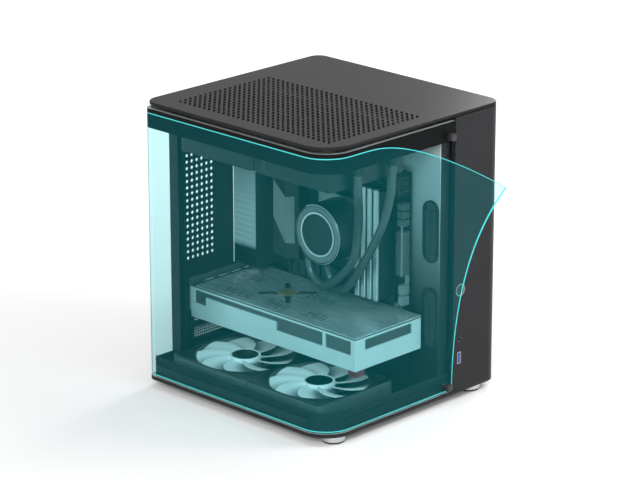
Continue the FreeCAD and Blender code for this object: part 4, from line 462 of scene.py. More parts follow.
glass_clear = see_through("toughened_glass", (0.96, 0.985, 0.98), 1.05, 0.02)
film_blue = see_through("protective_film", (0.61, 0.83, 0.86), 1.06, 0.12, "#00e8f4", 0.042)
ground_edge = coat("ground_glass_edge", "#929c9c #a2acac", (0.34, 0.46), 0.6, 4)
enamel = coat("fired_enamel_black", "#111213 #161718", (0.26, 0.34), 1.2, 3, specular=0.03)
film_rim = see_through("protective_film_edge", (0.25, 0.8, 0.85), 1.3, 0.2, "#4fdcdc", 0.8)
print("see-through finishes are made")

# %% [markdown]
# ## The plan of the case
#
# Seen from above the case is a rectangle with four rounded corners. The near-left one, where
# the glass bends, is the widest. The cover, the film, the border and the gaskets are all drawn
# from arcs of this plan, so the few steps that they share stand here.

# %% Arcs, outlines and closed skins
NEAR_BEND, REAR_BEND = 36.0, 12.0
CORNER_START = {(-1, -1): 180.0, (1, -1): 270.0, (1, 1): 0.0, (-1, 1): 90.0}


def arc(cx, cy, radius, degrees):
    """Points round a centre: x = cx + r cos(angle), y = cy + r sin(angle)."""
    turn = np.radians(degrees)
    return np.stack([cx + radius * np.cos(turn), cy + radius * np.sin(turn)], axis=1)


def outline(inset, radii, steps=48):
    """The plan pulled in by inset: an arc about each corner's centre, joined by straight lines."""
    arcs = []
    for (sx, sy), radius in radii.items():
        cx = radius if sx < 0 else WIDTH - radius
        cy = radius if sy < 0 else DEPTH - radius
        arcs.append(arc(cx, cy, radius - inset, CORNER_START[(sx, sy)] + np.linspace(0, 90, steps)))
    return np.concatenate(arcs)


def by_angle(points, centre, angles):
    """Where rays from a centre at given angles cross a closed line: its points, read by their angle."""
    around = np.unwrap(np.arctan2(points[:, 1] - centre[1], points[:, 0] - centre[0]))
    around, points = np.append(around, around[0] + 2 * np.pi), np.vstack([points, points[:1]])
    wanted = around[0] + np.mod(angles - around[0], 2 * np.pi)
    return np.stack([np.interp(wanted, around, points[:, axis]) for axis in (0, 1)], axis=1)


def rotated(points, degrees):
    """Points turned about Z: x' = x cos(a) - y sin(a), y' = x sin(a) + y cos(a)."""
    c, s = math.cos(math.radians(degrees)), math.sin(math.radians(degrees))
    moved = np.array(points, float)
    moved[:, :2] = moved[:, :2] @ np.array([[c, s], [-s, c]])
    return moved


def at_height(plan, z):
    """A line in plan, lifted to a height."""
    return np.c_[plan, np.full(len(plan), z)]


def capped(rings):
    """Closed rings joined one to the next by quads, with a face over the first and over the last."""
    rings = np.asarray(rings, float)
    rows, around = rings.shape[:2]
    ends = [list(range(around))[::-1], list(range((rows - 1) * around, rows * around))]
    return rings.reshape(-1, 3), grid_faces(rows, around, closed=True).tolist() + ends


def band(outer, inner, low, high):
    """A closed strip between two lines in plan, from one height to another."""
    edges = ((outer, low), (outer, high), (inner, high), (inner, low))
    return capped(np.stack([at_height(line, z) for line, z in edges], axis=1))


print("a quarter turn in four points:", arc(0, 0, 1, np.linspace(0, 90, 4)).round(2).tolist())

# %% [markdown]
# ## The top cover
#
# The cover is one steel sheet with a field of slots punched through it, and a folded edge. A
# boolean cut of 589 slots would leave long thin faces. Here each slot is a small tile: a ring
# of quads from the slot's outline out to a square. The tiles meet edge to edge, and a fan of
# quads joins the field to the cover's rounded outline.

# %% The slotted top cover
SLOT_PITCH, SLOT_WIDTH, SLOT_LENGTH = 7.8, 2.9, 9.2
SLOT_COLUMNS, SLOT_ROWS, FIRST_SLOT = 19, 31, (27.0, 23.0)
SHEET, COVER_EDGE, COVER_RIM, FOLD, FLAT_RING = 1.2, 3.2, 2.0, 1.4, 0.8
COVER_RADII = {(-1, -1): NEAR_BEND, (1, -1): 18.0, (1, 1): 14.0, (-1, 1): 20.0}


def rectangle_ring(x, y):
    """Points round a rectangle, at all the x and y values of its sides, from its lower left corner."""
    sides = [(x[:-1], y[0]), (x[-1], y[:-1]), (x[:0:-1], y[-1]), (x[0], y[:0:-1])]
    return np.concatenate([np.stack(np.broadcast_arrays(*side), axis=1) for side in sides])


def slot_ring():
    """Sixteen points round a slot: two half circles of eight, pushed apart along the diagonal."""
    turn = np.radians(np.concatenate([np.linspace(-90, 90, 8), np.linspace(90, 270, 8)]))
    reach = np.repeat([1.0, -1.0], 8) * (SLOT_LENGTH - SLOT_WIDTH) / 2
    u, v = reach + SLOT_WIDTH / 2 * np.cos(turn), SLOT_WIDTH / 2 * np.sin(turn)
    return np.stack([u - v, u + v], axis=1) / math.sqrt(2)


def slot_tile():
    """One tile of the sheet: square, slot, slot and square again, at the top and the underside."""
    side = np.linspace(-SLOT_PITCH, SLOT_PITCH, 5) / 2
    square = np.roll(rectangle_ring(side, side), -4, axis=0)
    levels = [(square, 0.0), (slot_ring(), 0.0), (slot_ring(), -SHEET), (square, -SHEET)]
    points = np.concatenate([at_height(ring, HEIGHT + z) for ring, z in levels])
    return points, grid_faces(len(levels), 16, closed=True)


def top_cover():
    """All tiles, and rings of quads from the field out to the folded edge and back underneath."""
    columns, rows = np.meshgrid(np.arange(SLOT_COLUMNS), np.arange(SLOT_ROWS))
    middles = np.stack([FIRST_SLOT[0] + SLOT_PITCH * columns.ravel(),
                        FIRST_SLOT[1] + SLOT_PITCH * rows.ravel(), np.zeros(columns.size)], axis=1)
    low = np.array(FIRST_SLOT) - SLOT_PITCH / 2
    high = low + SLOT_PITCH * np.array([SLOT_COLUMNS, SLOT_ROWS])
    field = rectangle_ring(np.linspace(low[0], high[0], SLOT_COLUMNS * 4 + 1),
                           np.linspace(low[1], high[1], SLOT_ROWS * 4 + 1))
    centre = (low + high) / 2
    angles = np.arctan2(field[:, 1] - centre[1], field[:, 0] - centre[0])

    def plan(inset):
        """The cover's outline at an inset, with one point for each point of the field."""
        return by_angle(outline(inset, COVER_RADII), centre, angles)

    levels = [(field, 0.0), (plan(FOLD + FLAT_RING), 0.0)]
    levels += [(plan(FOLD - FOLD * math.cos(bend)), FOLD * math.sin(bend) - FOLD)
               for bend in np.radians([90, 60, 30, 0])]
    levels += [(plan(0), -COVER_EDGE), (plan(COVER_RIM), -COVER_EDGE), (plan(COVER_RIM), -SHEET),
               (field, -SHEET)]
    rings = np.concatenate([at_height(ring, HEIGHT + z) for ring, z in levels])
    return joined([copies(*slot_tile(), middles), (rings, grid_faces(len(levels), len(field), closed=True))])


piece("slotted_top_cover", *top_cover(), powder_cover, "cover", ("top_cover",), merge=0.01)

# %% [markdown]
# ## The film
#
# The film lies on the glass, and its upper front corner has come off and hangs forward in the
# air. On the front its place is given by two numbers from 0 to 1: u across and t up. Past the
# line where u + t is 1 it leaves the glass by the square of how far past that line it is, so
# the peel starts gently and curls away faster towards the corner.

# %% The film with its peeled corner
FILM_LOW, FILM_TOP, FILM_FACE = 6.8, 323.4, 0.1
PEEL_START, FILM_END, FILM_REACH, FILM_DROP = 70.0, 206.0, 77.0, 56.5
RIM_WIDTH, REAR_TURN, PEEL_SOFTNESS = 1.2, 40.0, 0.1
SCREW_X, SCREW_LOW, SCREW_HIGH, SCREW_NOTCH = 196.0, 13.0, 312.0, 4


def film():
    """A sheet swept along the plan's left side and front, with the peel added where u + t is past 1."""
    front = np.append(np.linspace(NEAR_BEND, FILM_END, 70)[1:-1], [FILM_END - RIM_WIDTH, FILM_END])
    path = np.concatenate([
        arc(REAR_BEND, DEPTH - REAR_BEND, REAR_BEND - FILM_FACE, 180 - np.linspace(REAR_TURN, 0, 10)),
        np.stack([np.full(24, FILM_FACE), np.linspace(DEPTH - REAR_BEND, NEAR_BEND, 26)[1:-1]], axis=1),
        arc(NEAR_BEND, NEAR_BEND, NEAR_BEND - FILM_FACE, 180 + np.linspace(0, 90, 25)),
        np.stack([front, np.full(len(front), FILM_FACE)], axis=1)])
    level = np.concatenate([[FILM_LOW, FILM_LOW + RIM_WIDTH], np.linspace(FILM_LOW, FILM_TOP, 90)[1:-1],
                            [FILM_TOP - RIM_WIDTH, FILM_TOP]])
    x, z = np.meshgrid(path[:, 0], level)
    y = np.broadcast_to(path[:, 1], x.shape)
    u = (x - PEEL_START) / (FILM_END - PEEL_START)
    t = (z - FILM_LOW) / (FILM_TOP - FILM_LOW)
    past = u + t - 1
    on_front = y < 2
    peel = np.where(on_front, ((past + np.hypot(past, PEEL_SOFTNESS)) / 2) ** 2, 0)
    points = np.stack([x, y - FILM_REACH * peel, z - FILM_DROP * peel], axis=-1).reshape(-1, 3)
    faces = grid_faces(*x.shape)
    middle = points[faces].mean(axis=1)
    kept = np.hypot(middle[:, 0] - SCREW_X, middle[:, 2] - SCREW_LOW) >= SCREW_NOTCH
    made = piece("blue_protective_film", points, faces[kept], film_blue, stands_for=("protective_film",),
                 outwards=False, sharp=None)
    made.data.materials.append(film_rim)
    at_edge = np.zeros((x.shape[0] - 1, x.shape[1] - 1), np.int32)
    at_edge[[0, -1], :] = 1
    at_edge[:, -1] = 1
    made.data.polygons.foreach_set("material_index", at_edge.ravel()[kept])


film()

# %% [markdown]
# ## The glass's dark border
#
# Along its upper edge the glass carries a black band, fired onto its face, that hides the frame
# behind it: one thin strip along the glass's whole run.

# %% The border on the glass
BORDER_FACE, BORDER_BACK, BORDER_LOW, BORDER_HIGH = 0.5, 0.65, 305.5, 327.6
GLASS_REAR_END, GLASS_FRONT_END = 38.0, 205.6


def rear_bend(inset, steps):
    """The rear-left bend in plan, from just past the back to the left side."""
    return arc(REAR_BEND, DEPTH - REAR_BEND, REAR_BEND - inset, np.linspace(92, 180, steps))


def glass_line(inset):
    """The glass's run in plan: the rear bend, the left side, the near bend and the front."""
    near = arc(NEAR_BEND, NEAR_BEND, NEAR_BEND - inset, np.linspace(180, 270, 25))
    return np.concatenate([[[GLASS_REAR_END, DEPTH - inset]], rear_bend(inset, 14), near,
                           [[GLASS_FRONT_END, inset]]])


piece("glass_upper_border", *band(glass_line(BORDER_FACE), glass_line(BORDER_BACK), BORDER_LOW, BORDER_HIGH),
      enamel, sharp=30)

# %% [markdown]
# ## Fans
#
# A fan blade is a twisted sheet: it is steep at the hub and flatter at its tip, its outline
# sweeps forward, and its section is thickest near the leading edge. The blade is one function
# of how far out and how far across a point is. The hub is a profile turned round the axis.

# %% Blades and hubs
TIP_ROUNDING, ROUND_FROM, STRAIGHT_SHARE, LEAST_WING = 0.10, 0.75, 0.65, 0.12


def fan_blades(hub, tip, low, high, count, cover, sweep, thick):
    """Blades from hub to tip: the angle grows with the radius to the power 1.5, and the height climbs
    across the blade along half a cosine. The two faces stand apart by a wing's thickness."""
    out, across = np.meshgrid(np.linspace(0, 1, 12), np.linspace(0, 1, 11), indexing="ij")
    radius = hub - 1 + (tip - hub + 1) * out
    near_tip = np.clip(out - ROUND_FROM, 0, 1) / (1 - ROUND_FROM)
    round_tip = 1 - TIP_ROUNDING * near_tip * (2 * across - 1) ** 2
    turn = np.radians(sweep * out ** 1.5 + (across - 0.5) * 360 / count * cover * round_tip)
    wave = 0.5 - 0.5 * np.cos(np.pi * across)
    climb = high - (high - low) * (STRAIGHT_SHARE * across + (1 - STRAIGHT_SHARE) * wave)
    wing = thick / 2 * np.sqrt(np.clip(4 * across * (1 - across), 0, 1)) + LEAST_WING
    upper, lower = [np.stack([radius * np.cos(turn), radius * np.sin(turn), climb + side * wing], axis=-1)
                    for side in (1, -1)]
    points, faces = capped(np.concatenate([upper, lower[:, ::-1]], axis=1))
    return joined([(rotated(points, 360 * number / count), faces) for number in range(count)])


def turned_profile(profile, middle=(0, 0, 0), axis="Z", steps=48):
    """A closed shape of revolution: pairs are (radius, distance along the axis from the middle)."""
    profile = np.asarray(profile, float)
    angle = np.linspace(0, 2 * np.pi, steps, endpoint=False)
    points = np.stack([profile[:, 0, None] * np.cos(angle), profile[:, 0, None] * np.sin(angle),
                       np.broadcast_to(profile[:, 1, None], (len(profile), steps))], axis=-1)
    order = {"X": (2, 0, 1), "Z": (0, 1, 2)}[axis]
    return points.reshape(-1, 3)[:, order] + middle, grid_faces(len(profile), steps, closed=True).tolist()


BASE_FANS = {"front": (74.0, 84.0), "rear": (74.0, 204.0)}
BLADES = {"hub": 18.4, "tip": 56.5, "low": 23.4, "high": 31.6, "count": 9, "cover": 1.12, "sweep": 24.0,
          "thick": 1.6}
HUB = [(0, 8.6), (1.5, 8.6), (1.5, 11.6), (18, 11.6), (18.6, 12.2), (18.6, 31.2), (18.2, 32.2), (17.2, 32.6),
       (16.2, 32.3), (15.9, 31.8), (0, 31.8)]
CAP = [(0, 31.9), (15.2, 31.9), (15.6, 32.2), (15.2, 32.5), (13.6, 32.6), (13.2, 32.3), (0, 32.3)]
for end, middle in BASE_FANS.items():
    node, body = f"base_rotor_{end}", f"base_fan_{end}_turning"
    points, faces = fan_blades(**BLADES)
    piece(f"{node}_blades", points + (*middle, 0), faces, frosted, body, (node,))
    for part, profile, material in (("hub", HUB, frosted), ("cap", CAP, moulded_gloss)):
        piece(f"{node}_{part}", *turned_profile(profile, (*middle, 0)), material, body, merge=0.001)

# %% [markdown]
# ## Fan frames
#
# A fan's frame is a square moulding with a round bore and rounded edges. From the top of the
# bore the surface goes out to the square, round its edge, down its side and back underneath.
# Each of those steps is one ring of points, and all rings share the same angles, so quads join
# them. Four arms and a motor plate hold the rotor from below.

# %% Chamfered blocks and fan frames
def chamfered(low, high, edge):
    """A block with every edge cut off: four eight-sided rings between its underside and its top."""
    (x0, y0, z0), (x1, y1, z1) = low, high
    rings = []
    for z, inset in ((z0, edge), (z0 + edge, 0), (z1 - edge, 0), (z1, edge)):
        a, b, c, d = x0 + inset, x1 - inset, y0 + inset, y1 - inset
        rings.append([(a + edge, c, z), (b - edge, c, z), (b, c + edge, z), (b, d - edge, z),
                      (b - edge, d, z), (a + edge, d, z), (a, d - edge, z), (a, c + edge, z)])
    return capped(rings)


def blocks(boxes, edge):
    """Chamfered blocks as one part, each from its two far corners."""
    return joined([chamfered(low, high, edge) for low, high in boxes])


def rounded_square(half, radius, angles):
    """A square with rounded corners, as the points where rays at given angles cross it."""
    corner = arc(half - radius, half - radius, radius, np.linspace(0, 90, 12))
    return by_angle(np.concatenate([rotated(corner, a) for a in (0, 90, 180, 270)]), (0, 0), angles)


FAN_HALF, FAN_BORE, FAN_HIGH, FAN_LOW = 60.0, 58.0, 25.0, 8.0
FAN_EDGE, FAN_CORNER, FAN_LIP, ARM_LENGTH, ARM_HALF = 1.2, 6.0, 59.4, 58.5, 2.5
MOTOR_PLATE = [(0, 0), (19.6, 0), (20, 0.4), (20, 2.1), (19.6, 2.5), (0, 2.5)]


def fan_frame(cx, cy, low):
    """Rings from the bore over the rounded top edge, down the side and back along the underside."""
    angles = np.linspace(0, 2 * np.pi, 160, endpoint=False)
    circle = np.stack([np.cos(angles), np.sin(angles)], axis=1)
    top = low + FAN_HIGH
    rings = [(circle * FAN_BORE, top - 1.6), (circle * (FAN_BORE + 0.5), top - 0.6), (circle * FAN_LIP, top)]
    for level, way in ((top, 1), (low, -1)):
        for bend in np.radians([0, 30, 60, 90][::way]):
            half = FAN_HALF - FAN_EDGE + FAN_EDGE * math.sin(bend)
            drop = way * FAN_EDGE * (1 - math.cos(bend))
            rings.append((rounded_square(half, FAN_CORNER, angles), level - drop))
    rings += [(circle * FAN_LIP, low), (circle * FAN_BORE, low + 1.4)]
    points = np.concatenate([at_height(ring + (cx, cy), z) for ring, z in rings])
    around = len(angles)
    last = (len(rings) - 1) * around
    faces = grid_faces(len(rings), around, closed=True).tolist()
    faces += [[last + i, last + (i + 1) % around, (i + 1) % around, i] for i in range(around)]
    arms = [chamfered((cx - x, cy - y, low), (cx + x, cy + y, low + ARM_HALF), 0.4)
            for x, y in ((ARM_LENGTH, ARM_HALF), (ARM_HALF, ARM_LENGTH))]
    return joined([(points, faces), *arms, turned_profile(MOTOR_PLATE, (cx, cy, low))])


for end, middle in BASE_FANS.items():
    piece(f"base_fan_{end}_frame", *fan_frame(*middle, FAN_LOW), fan_grey, stands_for=(f"base_fan_{end}",),
          merge=0.001, sharp=50)

# %% [markdown]
# ## Memory, and the connectors beside it
#
# Four memory sticks stand side by side. Each has a dark heat spreader and a bright bar along
# its outer edge, and the bars are what the picture shows. Beside them the board's front edge
# carries its power connector, a block with two rows of square openings, and several sockets.

# %% Memory sticks and connectors
STICKS, BOARD_FACE = 66.0 + 9.5 * np.arange(4), 181.0
BAR, SPREADER = ((146.0, -3.3, 113.2), (149.4, 3.3, 246.0)), ((149.0, -2.9, 114.0), (175.0, 2.9, 243.5))
for name, box, edge, material, nodes in (
        ("memory_edge_bars", BAR, 0.7, brushed, ("memory_sticks",)),
        ("memory_heat_spreaders", SPREADER, 0.5, anodised_black, ())):
    piece(name, *copies(*chamfered(*box, edge), [(0, y, 0) for y in STICKS]), material, stands_for=nodes)


def pierced_block(low, high, across, upward, hole, deep):
    """A connector seen from its outer face: a block whose face has a grid of square wells, each
    well four rings of quads from the cell's border in to the well's floor."""
    (x0, y0, z0), (x1, y1, z1) = low, high
    wide, tall = (y1 - y0) / across, (z1 - z0) / upward
    square = np.array([[-1, -1], [1, -1], [1, 1], [-1, 1]]) / 2
    rings = [(square * (wide, tall), x0), (square * hole, x0), (square * hole, x0 + deep),
             (square * 0.01, x0 + deep)]
    tile = np.concatenate([np.c_[np.full(4, x), ring] for ring, x in rings])
    y, z = np.meshgrid(y0 + wide * (np.arange(across) + 0.5), z0 + tall * (np.arange(upward) + 0.5))
    places = np.stack([np.zeros(y.size), y.ravel(), z.ravel()], axis=1)
    corners = np.array([(x, y, z) for x in (x0, x1) for y in (y0, y1) for z in (z0, z1)])
    sides = [[0, 1, 5, 4], [2, 6, 7, 3], [0, 4, 6, 2], [1, 3, 7, 5], [4, 5, 7, 6]]
    return joined([copies(tile, grid_faces(4, 4, closed=True), places), (corners, sides)])


connector = pierced_block((169.0, 44.9, 142.0), (BOARD_FACE, 54.6, 194.0), across=2, upward=12, hole=2.9,
                          deep=3)
piece("board_power_connector", *connector, moulded_grey, stands_for=("power_socket",), outwards=False)
SOCKETS = {
    "board_pale_sockets": (plastic_light, 0.5, [
        ((176.0, 44.2, 131.0), (BOARD_FACE, 47.2, 141.6)), ((167.6, 44.2, 142.0), (169.0, 46.6, 203.0)),
        *[((170.0, 44.4, low), (BOARD_FACE, 52.0, high)) for low, high in ((106.0, 117.4), (118.8, 130.4))]]),
    "board_grey_sockets": (moulded_grey, 0.6, [
        *[((170.0, 44.4, 200.5 + 9.6 * k), (BOARD_FACE, 55.0, 208.6 + 9.6 * k)) for k in range(3)],
        ((172.0, 54.2, 98.0), (BOARD_FACE, 60.0, 106.5))]),
    "board_edge_connector": (moulded_black, 0.5, [
        ((164.0, 45.6, 238.0), (BOARD_FACE, 57.0, 262.0)),
        *[((166.0, 44.2, 239.2 + 3.9 * k), (180.0, 46.4, 241.4 + 3.9 * k)) for k in range(6)]]),
}
for name, (material, edge, boxes) in SOCKETS.items():
    piece(name, *blocks(boxes, edge), material)

# %% [markdown]
# ## The cooler behind the pump
#
# Behind the pump stands a block of metal on the board. What shows of it is three flats on a black core:
# a wide bright one towards the left with a slanting top, below it the same face in a darker flat, which is
# a painted shadow cast across that face, and a narrow one that turns towards the front.

# %% The cooler's core and flats
CORE_PLAN = [(BOARD_FACE, 205), (164, 205), (153, 216), (153, 235), (165, 248.5), (BOARD_FACE, 248.5)]
CORE_LOW, CORE_HIGH = 127.0, 226.0
FLATS = {
    "upper": (brushed, (0.7, 0, 0),
              [(152.1, 215.6, 203), (152.1, 235, 221), (152.1, 235, 175), (152.1, 215.6, 147)]),
    "front": (anodised_grey, (0.6, 0.6, 0),
              [(159.6, 207.6, 204), (152.1, 215.2, 203), (152.1, 215.2, 147), (159.6, 207.6, 146)]),
    # The lower flat is painted shadow: the wide flat's face, darker below the slanting line where a shadow
    # falls across it.
    "lower": (anodised_dark, (0.7, 0, 0),
              [(152.1, 215.6, 146.5), (152.1, 235, 174.5), (152.1, 235, 130), (152.1, 215.6, 130)]),
}
piece("voltage_cooler_core", *capped([at_height(CORE_PLAN, z) for z in (CORE_LOW, CORE_HIGH)]), moulded_black,
      stands_for=("voltage_cooler",), sharp=20)
for side, (material, inward, corners) in FLATS.items():
    piece(f"voltage_cooler_{side}_flat", *capped([corners, np.array(corners) + inward]), material, sharp=20)

# %% [markdown]
# ## The pump
#
# The pump is a turned drum. Its face is a dark disc inside a bright ring, then a lighter band,
# then a thin bright line at the rim. All of these are profiles turned round one axis, which
# here lies along X.

# %% The pump's drum and bands
PUMP_MIDDLE = (125.0, 136.0, 182.0)
PUMP_PARTS = {
    "pump_drum": (moulded_black, ("pump",), [
        (0, 0.8), (23.8, 0.8), (24.2, 0.4), (27.2, 0.2), (33.2, 0.2), (34.6, 0.5), (35.3, 1.4), (35.5, 2.4),
        (35.5, 38.6), (34.6, 40), (0, 40)]),
    "pump_face_band": (anodised_grey, (), [
        (27.0, 0.1), (27.3, -0.3), (33.0, -0.3), (33.4, 0.1), (33.0, 0.5), (27.3, 0.5), (27.0, 0.1)]),
    "pump_rim_line": (chrome, (), [
        (34.3, 0.4), (34.6, -0.3), (35.2, -0.2), (35.5, 0.6), (35.1, 1.2), (34.3, 0.4)]),
}
for name, (material, nodes, profile) in PUMP_PARTS.items():
    piece(name, *turned_profile(profile, PUMP_MIDDLE, "X", 64), material, stands_for=nodes, merge=0.001)

# %% [markdown]
# ## The graphics card
#
# Fine wire mesh sits behind the windows of the shroud. It is finer than a pixel, so it is a
# thin plate with a woven pattern from two wave textures. The back plate is brushed metal with
# groups of slanting slits, and a cross brace holds the chip from behind.

# %% The card's mesh, slits and brace
CARD_LEFT, CARD_FRONT, CARD_TOP = 67.6, 21.4, 100.0
MESHES = [((CARD_LEFT + 2.1, CARD_FRONT + 4, 76.5), (CARD_LEFT + 2.6, CARD_FRONT + 262, 96.4)),
          ((CARD_LEFT + 12, CARD_FRONT + 2.1, 80.5), (CARD_LEFT + 97, CARD_FRONT + 2.6, 96.4))]
piece("card_window_mesh", *blocks(MESHES, 0.1), wire_mesh)


SLIT_TAPER, SLIT_FLOOR = (0.94, 0.8, 1), (0, 0, 0.12)


def slit(length, width, slant):
    """A shallow slit: a long narrow ring of eight points and the same ring sunk to its floor."""
    reach = np.repeat([1, -1], 4) * (length - width) / 2
    flat = arc(0, 0, width / 2, [-90, -30, 30, 90, 90, 150, 210, 270])
    flat = rotated(at_height(flat + np.c_[reach, np.zeros(8)], 0), slant)
    points = np.concatenate([flat, flat * SLIT_TAPER + SLIT_FLOOR])
    return points, grid_faces(2, 8, closed=True).tolist() + [list(range(8, 16))]


SLIT_ROWS = [(18, 186, 7), (18, 126, 6), (66, 216, 6), (66, 100, 7), (22, 70, 5)]
SLIT_STAGGER, SLIT_STEP = 3.2, 6.0
places = [(CARD_LEFT + x + SLIT_STAGGER * (k % 2), CARD_FRONT + y + SLIT_STEP * k, CARD_TOP)
          for x, y, count in SLIT_ROWS for k in range(count)]
# The slits are shallow black troughs: painted shade, standing for the dark seen through slits cut through the
# plate.
piece("card_plate_slits", *copies(*slit(length=17.0, width=1.7, slant=12.0), places), moulded_black,
      outwards=False, sharp=0)

BRACE_MIDDLE = np.array([121.6, 181.4, CARD_TOP])
CHIP_HALF = 10.0
ARM_ALONG = [0, 12, 24, 32, 34, 32, 24, 12, 0.0]
ARM_ACROSS = [5.5, 3.6, 2.4, 3.0, 0.0, -3.0, -2.4, -3.6, -5.5]


def brace_arm(angle):
    """An arm from the middle out: wide at the chip, narrow at its end, where it has an eye."""
    flat = rotated(np.stack([ARM_ALONG, ARM_ACROSS], axis=1), angle)
    return capped([at_height(flat, z) + BRACE_MIDDLE for z in (0.2, 1.8)])


piece("card_cross_brace", *joined([brace_arm(a) for a in (45, 135, 225, 315)]), black_oxide,
      stands_for=("card_brace",), sharp=20)
piece("card_chip_back", *chamfered(BRACE_MIDDLE + (-CHIP_HALF, -CHIP_HALF, 0.4),
                                   BRACE_MIDDLE + (CHIP_HALF, CHIP_HALF, 2.4), 0.5), copper_brown, sharp=20)

# %% [markdown]
# ## Small pieces round the case
#
# Two knurled thumb screws hold the glass. The cable slots are closed by rubber leaves. Thin
# gaskets close the gap between the glass and the frame at the rear bend, and a small tab
# stands on the upper rail.

# %% Screws, leaves, gaskets and the rail's tab
KNURLS, KNURL_DEPTH, KNURL_LOW, KNURL_HIGH, GLASS_FACE = 28, 0.035, -7.6, -1.3, 0.7
SCREW = [(0, -8.4), (3.0, -8.4), (4.3, -8.1), (4.8, -7.4), (4.8, -1.4), (4.5, -0.6), (3.6, 0), (2, 0), (2, 9),
         (0, 9)]


def thumb_screw(z):
    """A head whose radius ripples once for each knurl, on a plain shank along Y."""
    points, faces = turned_profile(SCREW, steps=4 * KNURLS)
    angle = np.arctan2(points[:, 1], points[:, 0])
    on_head = (points[:, 2] < KNURL_HIGH) & (points[:, 2] > KNURL_LOW)
    points[:, :2] *= np.where(on_head, 1 - KNURL_DEPTH * (1 - np.cos(KNURLS * angle)), 1.0)[:, None]
    return points[:, (0, 2, 1)] + (SCREW_X, GLASS_FACE, z), faces


piece("knurled_glass_screws", *joined([thumb_screw(SCREW_HIGH), thumb_screw(SCREW_LOW)]), black_oxide,
      stands_for=("glass_screws",), merge=0.001, sharp=40)
LEAF_X, LEAF_Y, LEAF_STEP, LEAF_HIGH, LEAF_GAP = (188.7, 189.3), 20, 8.4, 7.6, 0.3
LEAVES, FIRST_LEAF, LEAF_REACH, END_REACH = 8, 33.5, 8.6, 6.4


def leaves(middle_z):
    """The rubber leaves of one cable slot: eight strips on each side of a thin gap."""
    boxes = []
    for k in range(LEAVES):
        low = middle_z - FIRST_LEAF + LEAF_STEP * k
        reach = LEAF_REACH if 0 < k < LEAVES - 1 else END_REACH
        boxes += [((LEAF_X[0], LEAF_Y + near, low), (LEAF_X[1], LEAF_Y + far, low + LEAF_HIGH))
                  for near, far in ((-reach, -LEAF_GAP), (LEAF_GAP, reach))]
    return boxes


piece("cable_slot_leaves", *blocks(leaves(93.0) + leaves(197.0), 0.15), rubber_grey)
GASKET_FACE, GASKET_BACK, GASKET_ENDS = 4.9, 6.3, ((5.0, 26.0), (305.0, 326.5))
gaskets = [band(rear_bend(GASKET_FACE, 16), rear_bend(GASKET_BACK, 16), *ends) for ends in GASKET_ENDS]
piece("rear_bend_gaskets", *joined(gaskets), rubber_dark)
piece("rail_tab", *chamfered((5.2, 99.5, 291.5), (8.4, 105.6, 308.0), 0.5), powder_grey)

port_low, port_high = [np.array(corner) * 1000 - BODY_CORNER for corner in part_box("usb_socket")]
piece("usb_tongue", *chamfered(port_low + (2.0, -0.05, 1.6), (port_high[0] - 1.2, port_low[1] + 1.5,
                                                             port_high[2] - 1.6), 0.2), plastic_blue)
RIB_FRONT, RIB_REAR, RIB_LOW, RIB_HIGH = 251.4, 287.4, 112, 259
RIB_FACE, RIB_BACK, RIB_PITCH, RIB_DEEP, RIB_FADE = 138.5, 139.2, 7.0, 0.35, 5


def ribbed_panel():
    """The port cover's outer face: a plate whose face ripples along Z and fades at its ends."""
    y, z = np.meshgrid(np.linspace(RIB_FRONT, RIB_REAR, 12), np.linspace(RIB_LOW, RIB_HIGH, 190))
    fade = np.clip(np.minimum(y - RIB_FRONT, RIB_REAR - y) / RIB_FADE, 0, 1)
    rib = np.clip(np.cos(2 * np.pi * z / RIB_PITCH) * 3, -1, 1) * RIB_DEEP * fade
    face, back = [np.stack([x, y, z], axis=-1) for x in (RIB_FACE - rib, np.full(y.shape, RIB_BACK))]
    return capped(np.concatenate([face, back[:, ::-1]], axis=1))


piece("port_cover_ribs", *ribbed_panel(), satin_aluminium, sharp=30)
COVER_Y, COVER_X, COVER_HIGH, BORDER_Z = (287.4, 288.3), (66.6, 68.6, 177.4, 180.0), 18.4, 0.7
HOLE_PITCH, HOLE_RADIUS, HOLE_COLUMNS, HOLE_ROWS = 3.4, 1.15, 32, 5


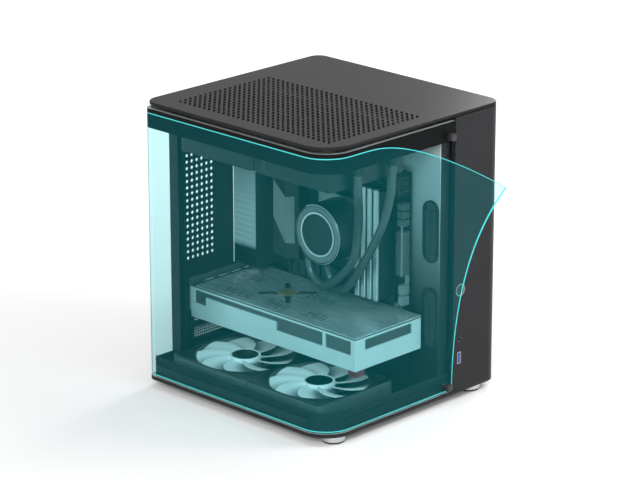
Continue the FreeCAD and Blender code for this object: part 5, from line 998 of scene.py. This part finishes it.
def pierced_cover(low_z):
    """A slot's cover with a field of small holes: tiles of an eight-sided hole in a square, at both faces."""
    round_hole = arc(0, 0, HOLE_RADIUS, 22.5 + 45 * np.arange(8))
    square = np.clip(round_hole * 4, -1, 1) * HOLE_PITCH / 2
    thick = COVER_Y[1] - COVER_Y[0]
    rings = [(square, 0.0), (round_hole, 0.0), (round_hole, thick), (square, thick)]
    tile = np.concatenate([at_height(ring, y)[:, (0, 2, 1)] for ring, y in rings])
    x, z = np.meshgrid(COVER_X[1] + HOLE_PITCH * (np.arange(HOLE_COLUMNS) + 0.5),
                       low_z + BORDER_Z + HOLE_PITCH * (np.arange(HOLE_ROWS) + 0.5))
    places = np.stack([x.ravel(), np.full(x.size, COVER_Y[0]), z.ravel()], axis=1)
    edges = ((0, 1, 0, COVER_HIGH), (2, 3, 0, COVER_HIGH), (1, 2, 0, BORDER_Z),
             (1, 2, COVER_HIGH - BORDER_Z, COVER_HIGH))
    border = [((COVER_X[a], COVER_Y[0], low_z + low), (COVER_X[b], COVER_Y[1], low_z + high))
              for a, b, low, high in edges]
    return joined([copies(tile, grid_faces(4, 8, closed=True), places), blocks(border, 0.1)])


piece("pierced_slot_covers", *joined([pierced_cover(27.5), pierced_cover(47.9)]), powder_inside_shaded,
      stands_for=("slot_covers",))

# %% [markdown]
# ## The finishes of the CAD pieces
#
# The solids that are already right keep their shape, and only get their finish here.

# %% Finishes on the frame's own pieces
WORN = {
    powder_black: ["right_shell", "rear_wall"],
    powder_grey: ["top_frame"],
    powder_pale_painted_shade: ["motherboard_tray"],
    powder_inside_shaded: ["base_pan", "front_post", "rear_post", "power_supply", "filter_rails"],
    moulded_black: ["dust_filter", "power_button", "audio_jack", "top_rotor_front", "top_rotor_rear",
                    "hose_fittings", "card_rotor_1", "card_rotor_2", "card_rotor_3", "supply_rotor",
                    "mains_inlet", "supply_switch"],
    fan_grey: ["top_fan_front", "top_fan_rear"],
    rubber_dark: ["foot_pads", "cable_grommets", "glass_seals"],
    glass_clear: ["glass_panel"],
    turned: ["feet"],
    chrome: ["pump_ring"],
    anodised_grey: ["button_ring"],
    plated: ["cover_studs", "usb_socket", "pump_bracket", "rear_ports", "card_bracket"],
    brushed: ["card_cooler"],
    anodised_dark: ["drive_cooler", "port_cover"],
    brushed_dark: ["card_back_plate"],
    solder_mask: ["motherboard", "card_board", "control_board"],
    radiator_paint: ["radiator"],
    silver_paint: ["card_shroud"],
    plastic_red: ["card_corner_block"],
}
for material, names in WORN.items():
    for name in names:
        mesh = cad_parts[name].data
        mesh.materials.clear()
        mesh.materials.append(material)
for made in hoses:
    made.data.materials.append(rubber_hose)
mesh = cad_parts["glass_panel"].data
mesh.materials.append(ground_edge)
normals = np.array([polygon.normal for polygon in mesh.polygons])
at_edge = np.abs(normals[:, 2]) > 0.9
mesh.polygons.foreach_set("material_index", at_edge.astype(np.int32))
print("glass faces on its ground edge:", int(at_edge.sum()))
left_over = set(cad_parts) - {name for names in WORN.values() for name in names}
print("nodes with no finish, which new pieces replace:", sorted(left_over))
